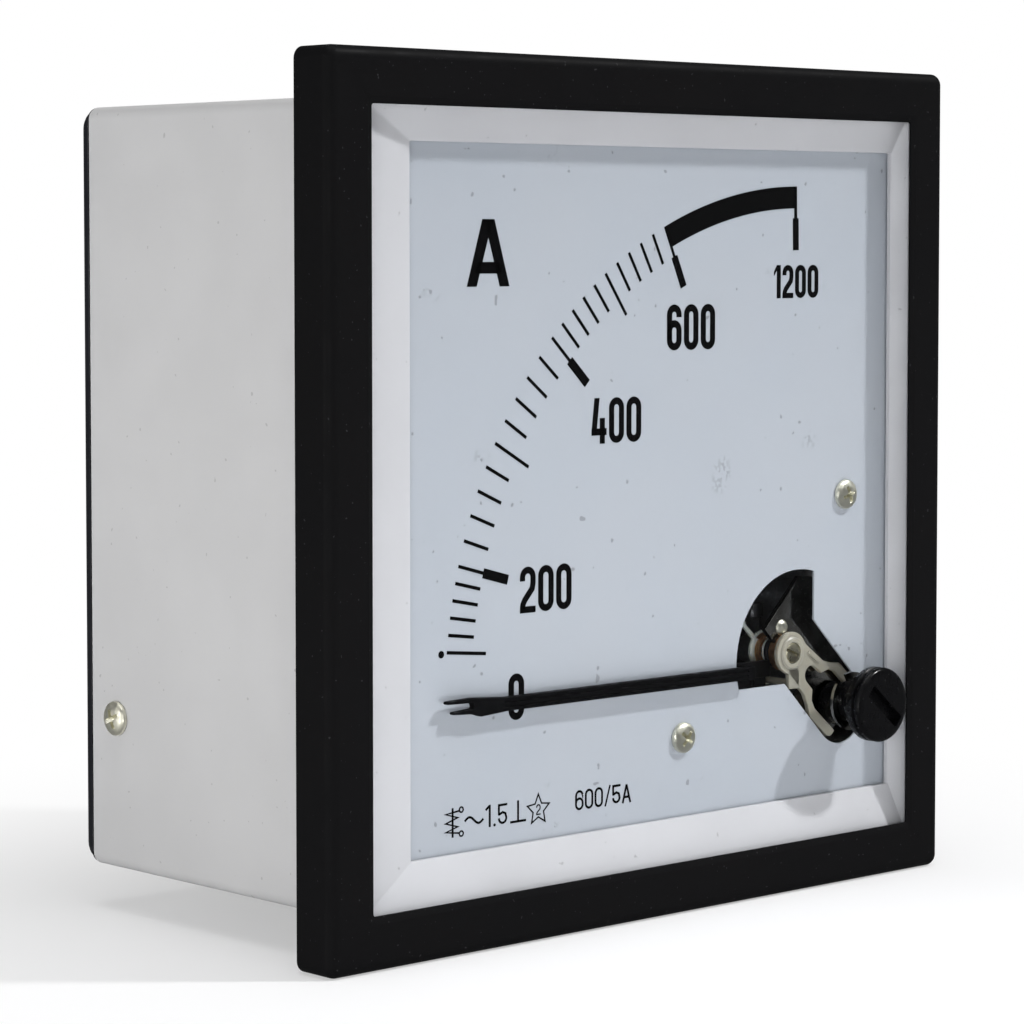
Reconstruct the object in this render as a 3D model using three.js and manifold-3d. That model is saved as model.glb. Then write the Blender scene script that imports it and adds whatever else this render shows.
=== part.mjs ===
// Square panel meter with a moving-iron ammeter movement and a 90 degree pointer scale.
// Millimetres. The front faces -Y, +X is to the right of someone facing it and +Z is up.
// The origin is the centre of the plane where the bezel seats on the panel.
import * as THREE from "three";
import { mergeVertices } from "three/addons/utils/BufferGeometryUtils.js";
import { ConvexGeometry } from "three/addons/geometries/ConvexGeometry.js";
import Module from "manifold-3d";

const wasm = await Module();
wasm.setup();

// ---- Driving dimensions ----
const GAP = 0.3; // between parts that rest on each other
const SEAT_GAP = 0.05; // under a screw's head
const BORE_PLAY = 0.05; // round a shaft pressed or riveted in its bore
const RUNNING_PLAY = 0.08; // round a shaft that turns in its bore
const CLEARANCE = 1; // how far a cutting tool runs past the piece it cuts
const FACET = { large: 40, medium: 22, small: 14, edge: 5, corner: 6, plate: 5, arc: 10, outline: 16 };

const BEZEL = { half: 48, depth: 5.9, corner: 1.4, edge: 1.2, pocketHalf: 45.6 };
const WINDOW = { half: 42.1, rimHalf: 42.8, rimDrop: 0.2, lipBack: 0.5 };
const PANE = { half: 45.4, depth: 0.9, corner: 0.6, gap: 0.1, recess: 0.05 };
const CASE = {
  half: 43.05, wall: 1.8, back: 42.7, corner: 1.6, flangeHalf: 45.4, flangeWall: 0.8, web: 0.9,
};
const LUG = { margin: 1.2, depth: 8, root: 0.4 }; // on the case wall, under the chassis
const COVER = { back: 45, round: 2, corner: 2.2, gap: 0.1 };
const SKIRT = { front: 33.5, wall: 1.8, gap: 0.2, corner: 1, innerCorner: 0.6 };
const BARRIER = { half: 1.2, reach: 14, height: 8 }; // between the terminals
const SURROUND = { half: 44.4, rimHalf: 43.2, lipDepth: 3.2, backDepth: 3.7 };
const LIP = { left: -34.4, right: 41.9, bottom: -37.7, top: 38.5 };
const DIAL = { half: 44.2, frontDepth: 4, thick: 0.7 };

const PIVOT = { x: 26.8, z: -20.7 };
const CUTOUT = {
  x: 26.8, z: -21.2, radius: 10.5, right: 2.76, floor: -2.9, channelHalf: 4.33, channelX: 7.47,
  channelZ: -6.52,
};
const FULL_TRAVEL = THREE.MathUtils.degToRad(93.5);

const POINTER = {
  tip: 56.5, prongLength: 3.6, headLength: 5, crankOut: 9.6, crankIn: 8.9, low: -2.1, high: -0.6,
};
const UPPER_PRONG = { rise: 0.35, tipRise: 0.25, thick: 0.42, root: 0.5 };
// z from the bar's middle
const LOWER_PRONG = {
  setBack: 0.9, high: -0.2, low: -0.5, rootHigh: -0.05, rootLow: -0.6,
};
const POINTER_CHIN = { back: 1.2, drop: 0.25 };
const GROOVE = { places: [0.32, 0.68], half: 0.09, depth: 0.2 };
const POINTER_FRONT = 2.5; // depth behind the bezel's front face
const POINTER_THICK = 0.9;
const FOOT = { front: 1.4, back: 2.0, inner: 1.2, high: -0.9, low: -2.9, flangeLow: -4.2, hub: 1.9 };
const FOOT_FLANGE = { thick: 0.25, inset: 0.5, holeRadius: 0.35, holeX: -3.9 };

const SPINDLE = { radius: 0.55, front: 0.85, back: 32.3, point: 1.2 };
const JEWEL = { radius: 1.2, front: -1.25, back: 1.15, slot: 0.4 };
const JEWEL_CUP = { radius: 0.8, depth: 0.6, slotDepth: 0.5 };
const COLLAR = { radius: 1.5, front: 2.1, back: 2.6 };
const HAIRSPRING = { inner: 1.15, outer: 2.2, ribbon: 0.16, turns: 2.5, front: 2.75, back: 3.35 };
const ANCHOR = { inner: 0.9, outer: 2.4, front: 3.5, back: 4.0, step: 0.05 };
const PRONG = { reach: 5, angle: 137, half: 0.3, bead: 0.5, root: 0.6 };
const BALANCE = {
  front: 5.2, back: 5.8, armWidth: 1.8, longArm: 12.5, shortArm: 6.5, hub: 1.7, hubRise: 0.6,
};
const LONG_WEIGHT = { radius: 2.215, from: 5.9, to: 9.9 };
const SHORT_WEIGHT = { radius: 1.3, from: 3.9, to: 5.5 };
const STOP = { radius: 0.8, at: 11.5, front: 4.6, touch: 0.05 };

const LEVER = { front: -0.95, back: -0.35, hub: 2.5, bore: 1.28, halfRoot: 2.3, halfTip: 4, slotHalf: 1.1 };
const LEVER_SLOT = { start: 4.5, widen: 6.4, mouth: 12.2, before: 0.6, after: 1 };
const LEVER_NECK = { before: 1.4, after: 1.2, flare: 0.2, tipChamfer: 0.8, tipWall: 0.5 };
const YOKE = {
  x: 0.4, z: -3.6, radius: 0.4, tabHalf: 0.9, tabDrop: 0.7, root: 0.5, eyeHalf: 0.6, eyeRoot: 0.4,
};
const ADJUSTER = { x: 33.95, z: -26.75, radius: 4.4, collar: 3.1, shank: 2.5, spigot: 1.2, rise: 3.2 };
const ADJUSTER_SLOT = { length: 6.4, width: 1.4, depth: 1 };
// depths from the knob's face
const KNOB_RIM = {
  chamfer: 0.35, edge: 0.08, lip: 0.12, side: 0.4, end: 2.1, foot: 0.5,
};
const KNOB_RING = { depth: 0.3, starts: 0.8, floor: 0.95, floorEnd: 1.15, ends: 1.3 };
const KNOB_BACK = { starts: 2.3, collar: 2.4 };
const CAM = { radius: 2.6, throw: 1, front: -3, back: -0.2, play: 0.1 };
const CLIP = { thick: 0.4, outer: 3.5, split: 0.6, splitAngle: -120 };

const BRIDGE = { front: 0.1, back: 0.9, ear: 2.3 };
// The bridge's outline about the pivot. Its slanting edges run at 45 degrees: t goes down to the right
// and s up to the right.
const BRIDGE_SLANT = [
  { t: -4.6, s: -0.4 },
  { t: 1.4, s: -0.4 },
  { t: 3, s: -1.2 },
  { t: 5.2, s: -1.2 },
  { t: 5.2, s: -6 },
];
const BRIDGE_FLANK = { left: 2.4, right: 12.6, bottom: -15.2, top: 7.9, endT: -4.6, endS: 8 };
const BRIDGE_POSTS = [
  { x: 10.2, z: -13 },
  { x: 10.2, z: 5.5 },
];
const CHASSIS = { front: 9.5, back: 12, left: 3, right: 40.4, bottom: -40.4, top: 4, corner: 3, bore: 6.6 };
const DIAL_POSTS = [
  { x: 34.8, z: -2.2, screwTurn: 15 },
  { x: 7.3, z: -28.7, screwTurn: 45 },
];
const CHASSIS_FIXINGS = [
  { x: 37.6, z: 1.4 },
  { x: 7.2, z: -37 },
];
const REAR_POST_REACH = 14.7;
const POST = { dial: 2.6, bridge: 1.9, rear: 2, tap: 7 };

const BOBBIN = { bore: 6.6, sleeve: 7.8, flange: 12.3, front: 12.3, back: 31, flangeThick: 1.4 };
const WINDING = { radius: 11.4, ridge: 0.25, rows: 7, endGap: 0.15, sleeveGap: 0.1 };
const FIXED_IRON = { inner: 5.9, outer: 6.3, front: 15, back: 28, from: -60, to: 60 };
const MOVING_IRON = {
  inner: 4.4, outer: 4.9, front: 16, back: 27, from: -42, to: 42, armHalf: 0.7, armDepth: 3,
  hub: 1.3, weld: 0.2,
};
const REAR_BRIDGE = {
  front: 32.2, back: 33.4, halfWidth: 4, overhang: 2.8, corner: 2, boss: 3, bossHeight: 1.4,
};
const REAR_JEWEL = { radius: 1.5, front: 32, back: 37.5, slot: 0.6 };

const SCREW = { shank: 1.05, headRadius: 1.75, headHeight: 0.95, hole: 1.3, length: 5 };
const PAN_HEAD = { height: 0.85, chamfer: 0.3, chamferDepth: 0.25, slotHalf: 0.25, slotDepth: 0.4 };
const DOME = { rim: 0.3, steps: 4 };
const RECESS = { depth: 0.65, reach: 0.62, width: 0.24 }; // shares of the head's height and radius
const SIDE_SCREW = {
  y: 37.9, z: -25.8, headRadius: 1.95, headHeight: 0.9, shank: 1.3, length: 4.6, play: 0.1,
  turn: 20,
};
const STUD = {
  x: 17, z: 0, radius: 2.5, hole: 2.8, headRadius: 4.2, headHeight: 2.2, end: 58, point: 0.8,
  pointInset: 0.7,
};
const STRAP = {
  thick: 0.8, halfWidth: 3, eye: 4.8, tagRadius: 10.5, tagAngles: [130, 50], legHalf: 2,
  legThick: 1,
};
const STUD_BOSS = { radius: 7.5, height: 2 };
const NUT = { across: 8, height: 4 };
const WASHER = { radius: 5.2, height: 1 };

const FRONT_Y = -BEZEL.depth;
const fromFront = (depth) => FRONT_Y + depth;
const radians = THREE.MathUtils.degToRad;
const PANE_FRONT = fromFront(WINDOW.lipBack) + PANE.recess;
const PANE_BACK = PANE_FRONT + PANE.depth;
const COVER_FRONT = CASE.back + COVER.gap;
const DIAL_FRONT = fromFront(DIAL.frontDepth);

// ---- Shapes ----

// A rectangle with rounded corners; shape x is the object's X and shape y its Z.
function roundedRect(left, bottom, right, top, radius) {
  const shape = new THREE.Shape();
  const corners = [
    [right - radius, bottom + radius, -Math.PI / 2],
    [right - radius, top - radius, 0],
    [left + radius, top - radius, Math.PI / 2],
    [left + radius, bottom + radius, Math.PI],
  ];
  corners.forEach(([x, z, start]) => shape.absarc(x, z, radius, start, start + Math.PI / 2, false));
  shape.closePath();
  return shape;
}

const square = (half, radius) => roundedRect(-half, -half, half, half, radius);

function polygon(points) {
  return new THREE.Shape(points.map(([x, z]) => new THREE.Vector2(x, z)));
}

// A flat plate with its faces square to Y, from y = front to y = back.
function plate(shape, front, back, segments = FACET.plate) {
  const options = { depth: back - front, bevelEnabled: false, curveSegments: segments };
  return new THREE.ExtrudeGeometry(shape, options).rotateX(Math.PI / 2).translate(0, back, 0);
}

// A plate whose front or back edge is rounded all the way round.
function roundedPlate(half, corner, edge, front, back, roundFront) {
  const options = {
    depth: back - front,
    bevelThickness: edge,
    bevelSize: edge,
    bevelOffset: -edge,
    bevelSegments: FACET.edge,
    curveSegments: FACET.corner,
  };
  const block = new THREE.ExtrudeGeometry(square(half, corner), options).rotateX(Math.PI / 2);
  block.translate(0, roundFront ? back + edge : back - edge, 0);
  const excess = roundFront ? box(-half, back, -half, half, back + 3 * edge, half) : null;
  const before = roundFront ? null : box(-half, front - 3 * edge, -half, half, front, half);
  return cut(block, excess ?? before);
}

function box(x0, y0, z0, x1, y1, z1) {
  const block = new THREE.BoxGeometry(x1 - x0, y1 - y0, z1 - z0);
  return block.translate((x0 + x1) / 2, (y0 + y1) / 2, (z0 + z1) / 2);
}

// A turned piece on an axis along Y through x, z. The profile is [radius, y] pairs.
function turned(profile, x = 0, z = 0, segments = FACET.medium) {
  const points = profile.map(([r, y]) => new THREE.Vector2(r, y));
  return new THREE.LatheGeometry(points, segments).translate(x, 0, z);
}

function rod(radius, front, back, x = 0, z = 0, segments = FACET.medium) {
  const profile = [
    [0, front],
    [radius, front],
    [radius, back],
    [0, back],
  ];
  return turned(profile, x, z, segments);
}

function ring(inner, outer, front, back, x = 0, z = 0, segments = FACET.medium) {
  const profile = [
    [inner, front],
    [outer, front],
    [outer, back],
    [inner, back],
    [inner, front],
  ];
  return turned(profile, x, z, segments);
}

// A sector of a ring, as a bent plate, between two angles in degrees.
function arcPlate(inner, outer, front, back, from, to, centre) {
  const shape = new THREE.Shape();
  shape.absarc(centre.x, centre.z, outer, radians(from), radians(to), false);
  shape.absarc(centre.x, centre.z, inner, radians(to), radians(from), true);
  shape.closePath();
  return plate(shape, front, back, FACET.arc);
}

// ---- Joining and cutting ----

function solid(geometry) {
  const bare = geometry.clone().deleteAttribute("normal").deleteAttribute("uv");
  const merged = mergeVertices(bare, 1e-4);
  const mesh = new wasm.Mesh({
    numProp: 3,
    vertProperties: merged.attributes.position.array,
    triVerts: new Uint32Array(merged.index.array),
  });
  return new wasm.Manifold(mesh);
}

function geometryOf(body) {
  const mesh = body.getMesh();
  const geometry = new THREE.BufferGeometry();
  geometry.setAttribute("position", new THREE.BufferAttribute(mesh.vertProperties, 3));
  geometry.setIndex(new THREE.BufferAttribute(mesh.triVerts, 1));
  const flat = geometry.toNonIndexed();
  flat.computeVertexNormals();
  return flat;
}

const join = (first, ...rest) => geometryOf(rest.reduce((sum, part) => sum.add(solid(part)), solid(first)));

function cut(first, ...tools) {
  return geometryOf(tools.reduce((left, tool) => left.subtract(solid(tool)), solid(first)));
}

// ---- The assembly ----

const meter = new THREE.Group();

const finishes = {
  blackPlastic: { color: 0x1c1c1e, roughness: 0.55, metalness: 0 },
  whitePlastic: { color: 0xc6c6c8, roughness: 0.5, metalness: 0 },
  acrylic: { color: 0xffffff, roughness: 0.05, metalness: 0, transparent: true, opacity: 0.15 },
  dialPaint: { color: 0xc3cad6, roughness: 0.6, metalness: 0 },
  zinc: { color: 0xc9c4ae, roughness: 0.35, metalness: 1 },
  steel: { color: 0x9a9a9c, roughness: 0.2, metalness: 1 },
  castMetal: { color: 0x8f9094, roughness: 0.6, metalness: 1 },
  creamPlastic: { color: 0xcfc9b4, roughness: 0.45, metalness: 0 },
  milkyPlastic: { color: 0xcfd6cb, roughness: 0.4, metalness: 0 },
  bronze: { color: 0xaf8256, roughness: 0.35, metalness: 1 },
  copper: { color: 0xb8683f, roughness: 0.4, metalness: 1 },
  iron: { color: 0x55565a, roughness: 0.5, metalness: 1 },
  brass: { color: 0xc4a24e, roughness: 0.35, metalness: 1 },
  pointerBlack: { color: 0x101012, roughness: 0.4, metalness: 0 },
  darkGrey: { color: 0x303034, roughness: 0.45, metalness: 0 },
  glossBlack: { color: 0x0b0b0c, roughness: 0.2, metalness: 0 },
  bobbinPlastic: { color: 0x2a2522, roughness: 0.6, metalness: 0 },
};

const materials = Object.fromEntries(
  Object.entries(finishes).map(([name, values]) => [name, new THREE.MeshStandardMaterial(values)]),
);

function add(name, geometry, finish, place = null) {
  const mesh = new THREE.Mesh(geometry, materials[finish]);
  mesh.name = name;
  if (place) mesh.position.set(place.x ?? 0, place.y ?? 0, place.z ?? 0);
  meter.add(mesh);
  return mesh;
}

// Moves a piece drawn about the pivot onto the pivot's axis.
const onPivot = (name, geometry, finish) => add(name, geometry, finish, PIVOT);

// ---- Case ----

function bezelFrame() {
  const block = roundedPlate(BEZEL.half, BEZEL.corner, BEZEL.edge, FRONT_Y, 0, true);
  const pocket = plate(square(BEZEL.pocketHalf, PANE.corner), fromFront(WINDOW.lipBack), CLEARANCE);
  const opening = plate(square(WINDOW.half, PANE.corner), FRONT_Y - CLEARANCE, CLEARANCE);
  return cut(block, pocket, opening, rimChamfer());
}

// The shallow slope from the bezel's face down to the edge of the window.
function rimChamfer() {
  const outer = WINDOW.rimHalf;
  const inner = WINDOW.half;
  const slope = (outer - inner) / WINDOW.rimDrop;
  const mouth = symmetric(outer + slope * CLEARANCE);
  return frustum(mouth, FRONT_Y - CLEARANCE, symmetric(inner), fromFront(WINDOW.rimDrop));
}

const symmetric = (half) => ({ left: -half, right: half, bottom: -half, top: half });

// A block with one rectangle at y = front and another at y = back.
function frustum(frontRect, front, backRect, back) {
  const ends = [
    [frontRect, front],
    [backRect, back],
  ];
  const points = ends.flatMap(([rect, y]) =>
    [rect.left, rect.right].flatMap((x) => [rect.bottom, rect.top].map((z) => new THREE.Vector3(x, y, z))),
  );
  return new ConvexGeometry(points);
}

function windowPane() {
  const shape = square(PANE.half, PANE.corner);
  const holeRadius = ADJUSTER.shank + RUNNING_PLAY;
  shape.holes.push(new THREE.Path().absarc(ADJUSTER.x, ADJUSTER.z, holeRadius, 0, 2 * Math.PI, true));
  return plate(shape, PANE_FRONT, PANE_BACK, FACET.small / 2);
}

function dialSurround() {
  const front = PANE_BACK + PANE.gap;
  const lip = fromFront(SURROUND.lipDepth);
  const back = fromFront(SURROUND.backDepth);
  const rim = symmetric(SURROUND.rimHalf);
  const body = plate(square(SURROUND.half, PANE.corner), front, back);
  const slopes = frustum(rim, front, LIP, lip);
  const mouth = frustum(rim, front - CLEARANCE, rim, front);
  const opening = frustum(LIP, lip, LIP, back + CLEARANCE);
  return cut(body, slopes, mouth, opening);
}

function caseBody() {
  const inner = CASE.half - CASE.wall;
  const flange = plate(square(CASE.flangeHalf, PANE.corner), PANE_BACK + PANE.gap, 0);
  const flangeHollow = plate(square(CASE.flangeHalf - CASE.flangeWall, PANE.corner), FRONT_Y, -CASE.web);
  const walls = plate(square(CASE.half, CASE.corner), -CASE.web, CASE.back);
  const hollow = plate(square(inner, CASE.corner / 2), FRONT_Y, CASE.back + CLEARANCE);
  const shell = cut(join(flange, walls), flangeHollow, hollow, sideScrewHoles());
  return join(shell, ...CHASSIS_FIXINGS.map((fixing) => caseBoss(fixing, inner)));
}

// A lug on the case wall that carries one corner of the movement's chassis.
function caseBoss({ x, z }, inner) {
  const reach = SCREW.headRadius + LUG.margin;
  const front = CHASSIS.back + GAP;
  const back = front + LUG.depth;
  const wall = inner + LUG.root;
  const toRight = x > PIVOT.x;
  const lug = toRight
    ? box(x - reach, front, z - reach, wall, back, z + reach)
    : box(x - reach, front, -wall, x + reach, back, z + reach);
  return cut(lug, rod(SCREW.hole, front - CLEARANCE, front + SCREW.length, x, z, FACET.small));
}

// A rod along X right through the case, for the holes of the side screws.
function sideScrewHoles() {
  const end = CASE.half + CLEARANCE;
  const drawn = rod(SIDE_SCREW.shank + SIDE_SCREW.play, -end, end).rotateZ(-Math.PI / 2);
  return drawn.translate(0, SIDE_SCREW.y, SIDE_SCREW.z);
}

function rearCover() {
  const skirtHalf = CASE.half - CASE.wall - SKIRT.gap;
  const hollowHalf = skirtHalf - SKIRT.wall;
  const root = COVER.back - CLEARANCE; // inside the panel
  const panel = roundedPlate(CASE.half, COVER.corner, COVER.round, COVER_FRONT, COVER.back, false);
  const skirt = plate(square(skirtHalf, SKIRT.corner), SKIRT.front, CASE.back + CLEARANCE);
  const skirtHollow = plate(square(hollowHalf, SKIRT.innerCorner), SKIRT.front - CLEARANCE, COVER_FRONT);
  const bosses = [-STUD.x, STUD.x].map((x) =>
    rod(STUD_BOSS.radius, root, COVER.back + STUD_BOSS.height, x, STUD.z, FACET.large),
  );
  const { half, reach, height } = BARRIER;
  const barrier = box(-half, root, -reach, half, COVER.back + height, reach);
  const studHoles = [-STUD.x, STUD.x].map((x) => rod(STUD.hole, SKIRT.front, STUD.end, x, STUD.z));
  return cut(join(cut(skirt, skirtHollow), panel, ...bosses, barrier), ...studHoles, sideScrewHoles());
}

// A cross recess for a dome-headed screw, drawn about the origin with the head towards -Y.
function crossRecess(top, depth, reach, width) {
  const blade = box(-reach, top - CLEARANCE, -width / 2, reach, top + depth, width / 2);
  return [blade, blade.clone().rotateY(Math.PI / 2)];
}

// A dome-headed screw about the origin: the head's underside is at y = 0 and the head is towards -Y.
function domeScrew(headRadius, headHeight, shank, length) {
  const arc = Array.from({ length: DOME.steps + 1 }, (_, i) => {
    const angle = ((i / DOME.steps) * Math.PI) / 2;
    return [headRadius * Math.sin(angle), -DOME.rim - (headHeight - DOME.rim) * Math.cos(angle)];
  });
  const profile = [...arc, [headRadius, 0], [shank, 0], [shank, length], [0, length]];
  const { depth, reach, width } = RECESS;
  const recess = crossRecess(-headHeight, headHeight * depth, headRadius * reach, headRadius * width);
  return cut(turned(profile), ...recess);
}

function addSideScrew(name, side) {
  const screw = domeScrew(SIDE_SCREW.headRadius, SIDE_SCREW.headHeight, SIDE_SCREW.shank, SIDE_SCREW.length);
  screw.rotateZ(side * (Math.PI / 2)).rotateX(radians(SIDE_SCREW.turn));
  add(name, screw, "zinc", { x: side * (CASE.half + SEAT_GAP), y: SIDE_SCREW.y, z: SIDE_SCREW.z });
}

// ---- Dial ----

function dialPlate() {
  const shape = square(DIAL.half, PANE.corner);
  shape.holes.push(dialCutout());
  DIAL_POSTS.forEach(({ x, z }) => {
    shape.holes.push(new THREE.Path().absarc(x, z, SCREW.hole, 0, 2 * Math.PI, true));
  });
  return plate(shape, DIAL_FRONT, DIAL_FRONT + DIAL.thick, FACET.outline);
}

// The window in the dial: part of a disc about the pivot, and a slanting channel to the adjuster.
function dialCutout() {
  const { x, z, radius, right, floor, channelHalf, channelX, channelZ } = CUTOUT;
  const half = channelHalf * Math.SQRT1_2;
  const outline = new THREE.Path();
  outline.absarc(x, z, radius, Math.PI + Math.asin(-floor / radius), Math.acos(right / radius), true);
  const middle = channelX + channelZ;
  outline.lineTo(x + right, z + middle + 2 * half - right);
  outline.absarc(x + channelX, z + channelZ, channelHalf, Math.PI / 4, (-3 * Math.PI) / 4, true);
  outline.lineTo(x + middle - 2 * half - floor, z + floor);
  outline.closePath();
  return outline;
}

function addDialScrews() {
  const names = ["dial_screw_upper", "dial_screw_lower"];
  DIAL_POSTS.forEach(({ x, z, screwTurn }, i) => {
    const screw = domeScrew(SCREW.headRadius, SCREW.headHeight, SCREW.shank, SCREW.length);
    add(names[i], screw.rotateY(radians(screwTurn)), "zinc", { x, y: DIAL_FRONT - SEAT_GAP, z });
  });
}

// ---- Pointer and what turns with it, drawn about the pivot with the pointer towards -X ----

function pointer() {
  const front = fromFront(POINTER_FRONT);
  const back = front + POINTER_THICK;
  const { tip, prongLength, headLength, crankOut, crankIn, low, high } = POINTER;
  const middle = (low + high) / 2;
  const prongTop = high + UPPER_PRONG.rise;
  const tipTop = high + UPPER_PRONG.tipRise;
  const lowerTip = tip - LOWER_PRONG.setBack;
  const shoulder = tip - prongLength;
  const head = shoulder - headLength;
  const outline = polygon([
    [-crankIn, high],
    [-head, high],
    [-shoulder, prongTop],
    [-tip, tipTop],
    [-tip, prongTop - UPPER_PRONG.thick],
    [-shoulder, prongTop - UPPER_PRONG.root],
    [-shoulder, middle + LOWER_PRONG.rootHigh],
    [-lowerTip, middle + LOWER_PRONG.high],
    [-lowerTip, middle + LOWER_PRONG.low],
    [-shoulder, middle + LOWER_PRONG.rootLow],
    [-shoulder + POINTER_CHIN.back, low - POINTER_CHIN.drop],
    [-head, low],
    [-crankIn, low],
  ]);
  const grooves = GROOVE.places.map((share) => {
    const z = low + share * (high - low);
    return box(-head, front - CLEARANCE, z - GROOVE.half, -crankOut, front + GROOVE.depth, z + GROOVE.half);
  });
  const crank = box(-crankOut, front + GROOVE.depth / 2, low, -crankIn, FOOT.back, high);
  return cut(join(plate(outline, front, back), crank), ...grooves);
}

function pointerFoot() {
  const { front, back, inner, high, low, flangeLow, hub } = FOOT;
  const { thick, inset, holeRadius, holeX } = FOOT_FLANGE;
  const left = -POINTER.crankIn + SEAT_GAP;
  const arm = box(left, front, low, -inner, back, high);
  const flange = box(left, back - thick, flangeLow, -inner - inset, back, low);
  const middle = (low + flangeLow) / 2;
  const rivetHole = rod(holeRadius, front - CLEARANCE, back + CLEARANCE, holeX, middle, FACET.small);
  return cut(join(arm, flange, rod(hub, front, back)), rivetHole, spindleBore(front, back));
}

function spindle() {
  const { radius, front, back, point } = SPINDLE;
  const profile = [
    [0, front],
    [radius, front + point],
    [radius, back - point],
    [0, back],
  ];
  return turned(profile, 0, 0, FACET.small);
}

const sleeve = (outer, front, back) => ring(SPINDLE.radius + BORE_PLAY, outer, front, back);

// The hole for the spindle through a piece that lies between y = front and y = back.
const spindleBore = (front, back) => rod(SPINDLE.radius + BORE_PLAY, front - CLEARANCE, back + CLEARANCE);

function balanceCross() {
  const { front, back, armWidth, longArm, shortArm, hub, hubRise } = BALANCE;
  const half = armWidth / 2;
  const long = box(0, front, -half, longArm, back, half);
  const short = box(-half, front, 0, half, back, shortArm);
  const middle = rod(hub, front - hubRise, back + hubRise);
  return cut(join(long, short, middle), spindleBore(front - hubRise, back + hubRise));
}

// A balance weight slid on to an arm, which lies along +X.
function balanceWeight({ radius, from, to }) {
  const middle = (BALANCE.front + BALANCE.back) / 2;
  const half = BALANCE.armWidth / 2 + BORE_PLAY;
  const blank = rod(radius, from, to).rotateZ(-Math.PI / 2).translate(0, middle, 0);
  const boreFront = BALANCE.front - BORE_PLAY;
  const boreBack = BALANCE.back + BORE_PLAY;
  const bore = box(from - CLEARANCE, boreFront, -half, to + CLEARANCE, boreBack, half);
  return cut(blank, bore);
}

function movingIron() {
  const { inner, outer, front, back, from, to, armHalf, armDepth, hub, weld } = MOVING_IRON;
  const vane = arcPlate(inner, outer, front, back, from, to, { x: 0, z: 0 });
  const armFront = (front + back - armDepth) / 2;
  const arm = box(0, armFront, -armHalf, inner + weld, armFront + armDepth, armHalf);
  const middle = rod(hub, armFront, armFront + armDepth);
  return cut(join(vane, arm, middle), spindleBore(front, back));
}

// A flat spiral ribbon about the spindle.
function hairspring() {
  const { inner, outer, ribbon, turns, front, back } = HAIRSPRING;
  const steps = Math.round(turns * FACET.small);
  const edge = (offset) =>
    Array.from({ length: steps + 1 }, (_, i) => {
      const angle = radians(PRONG.angle) + (i / steps - 1) * turns * 2 * Math.PI;
      const r = inner + ((outer - ribbon - inner) * i) / steps + offset;
      return [r * Math.cos(angle), r * Math.sin(angle)];
    });
  return plate(polygon([...edge(0), ...edge(ribbon).reverse()]), front, back);
}

// ---- Zero adjustment ----

const camDirection = Math.atan2(ADJUSTER.z - PIVOT.z, ADJUSTER.x - PIVOT.x);

function springAnchor() {
  const { inner, outer, front, back, step } = ANCHOR;
  const { x, z, radius, eyeHalf, eyeRoot } = YOKE;
  const disc = ring(inner, outer, front, back);
  const blade = box(inner + PRONG.root, front + step, -PRONG.half, PRONG.reach, back - step, PRONG.half);
  const bead = rod(PRONG.bead, front - 2 * step, back, PRONG.reach, 0, FACET.small);
  const prong = join(blade, bead).rotateY(-radians(PRONG.angle));
  const eye = box(x - eyeHalf, front, z - eyeHalf, x + eyeHalf, back, -inner - eyeRoot);
  const yokeHole = rod(radius + BORE_PLAY, front - CLEARANCE, back + CLEARANCE, x, z, FACET.small);
  return cut(join(disc, prong, eye), yokeHole);
}

// The fork that the adjuster's cam swings, drawn about the pivot with its mouth along the cam's direction.
function zeroLever() {
  const { front, back, hub, bore, halfRoot, halfTip, slotHalf } = LEVER;
  const { start, widen, mouth, before, after } = LEVER_SLOT;
  const neck = LEVER_NECK;
  const camHalf = CAM.radius + CAM.play;
  const armSide = [
    [0, halfRoot],
    [widen - neck.before, halfRoot + neck.flare],
    [widen + neck.after, halfTip],
    [mouth - neck.tipChamfer, halfTip],
    [mouth, camHalf + neck.tipWall],
  ];
  const slotSide = [
    [start, slotHalf],
    [widen - before, slotHalf],
    [widen + after, camHalf],
    [mouth + CLEARANCE, camHalf],
  ];
  const mirrored = (side) => polygon([...side.map(([t, s]) => [t, -s]), ...side.toReversed()]);
  const blank = join(plate(mirrored(armSide), front, back), rod(hub, front, back));
  const slot = plate(mirrored(slotSide), front - CLEARANCE, back + CLEARANCE);
  const slotEnd = rod(slotHalf, front - CLEARANCE, back + CLEARANCE, start, 0, FACET.small);
  const fork = cut(blank, slot, slotEnd, rod(bore, front - CLEARANCE, back + CLEARANCE)).rotateY(-camDirection);
  const { x, z, radius, tabHalf, tabDrop, root } = YOKE;
  const tab = box(x - tabHalf, front, z - tabDrop, x + tabHalf, back, -bore - root);
  const yoke = rod(radius, front + RUNNING_PLAY, ANCHOR.back, x, z, FACET.small);
  return join(fork, tab, yoke);
}

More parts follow.
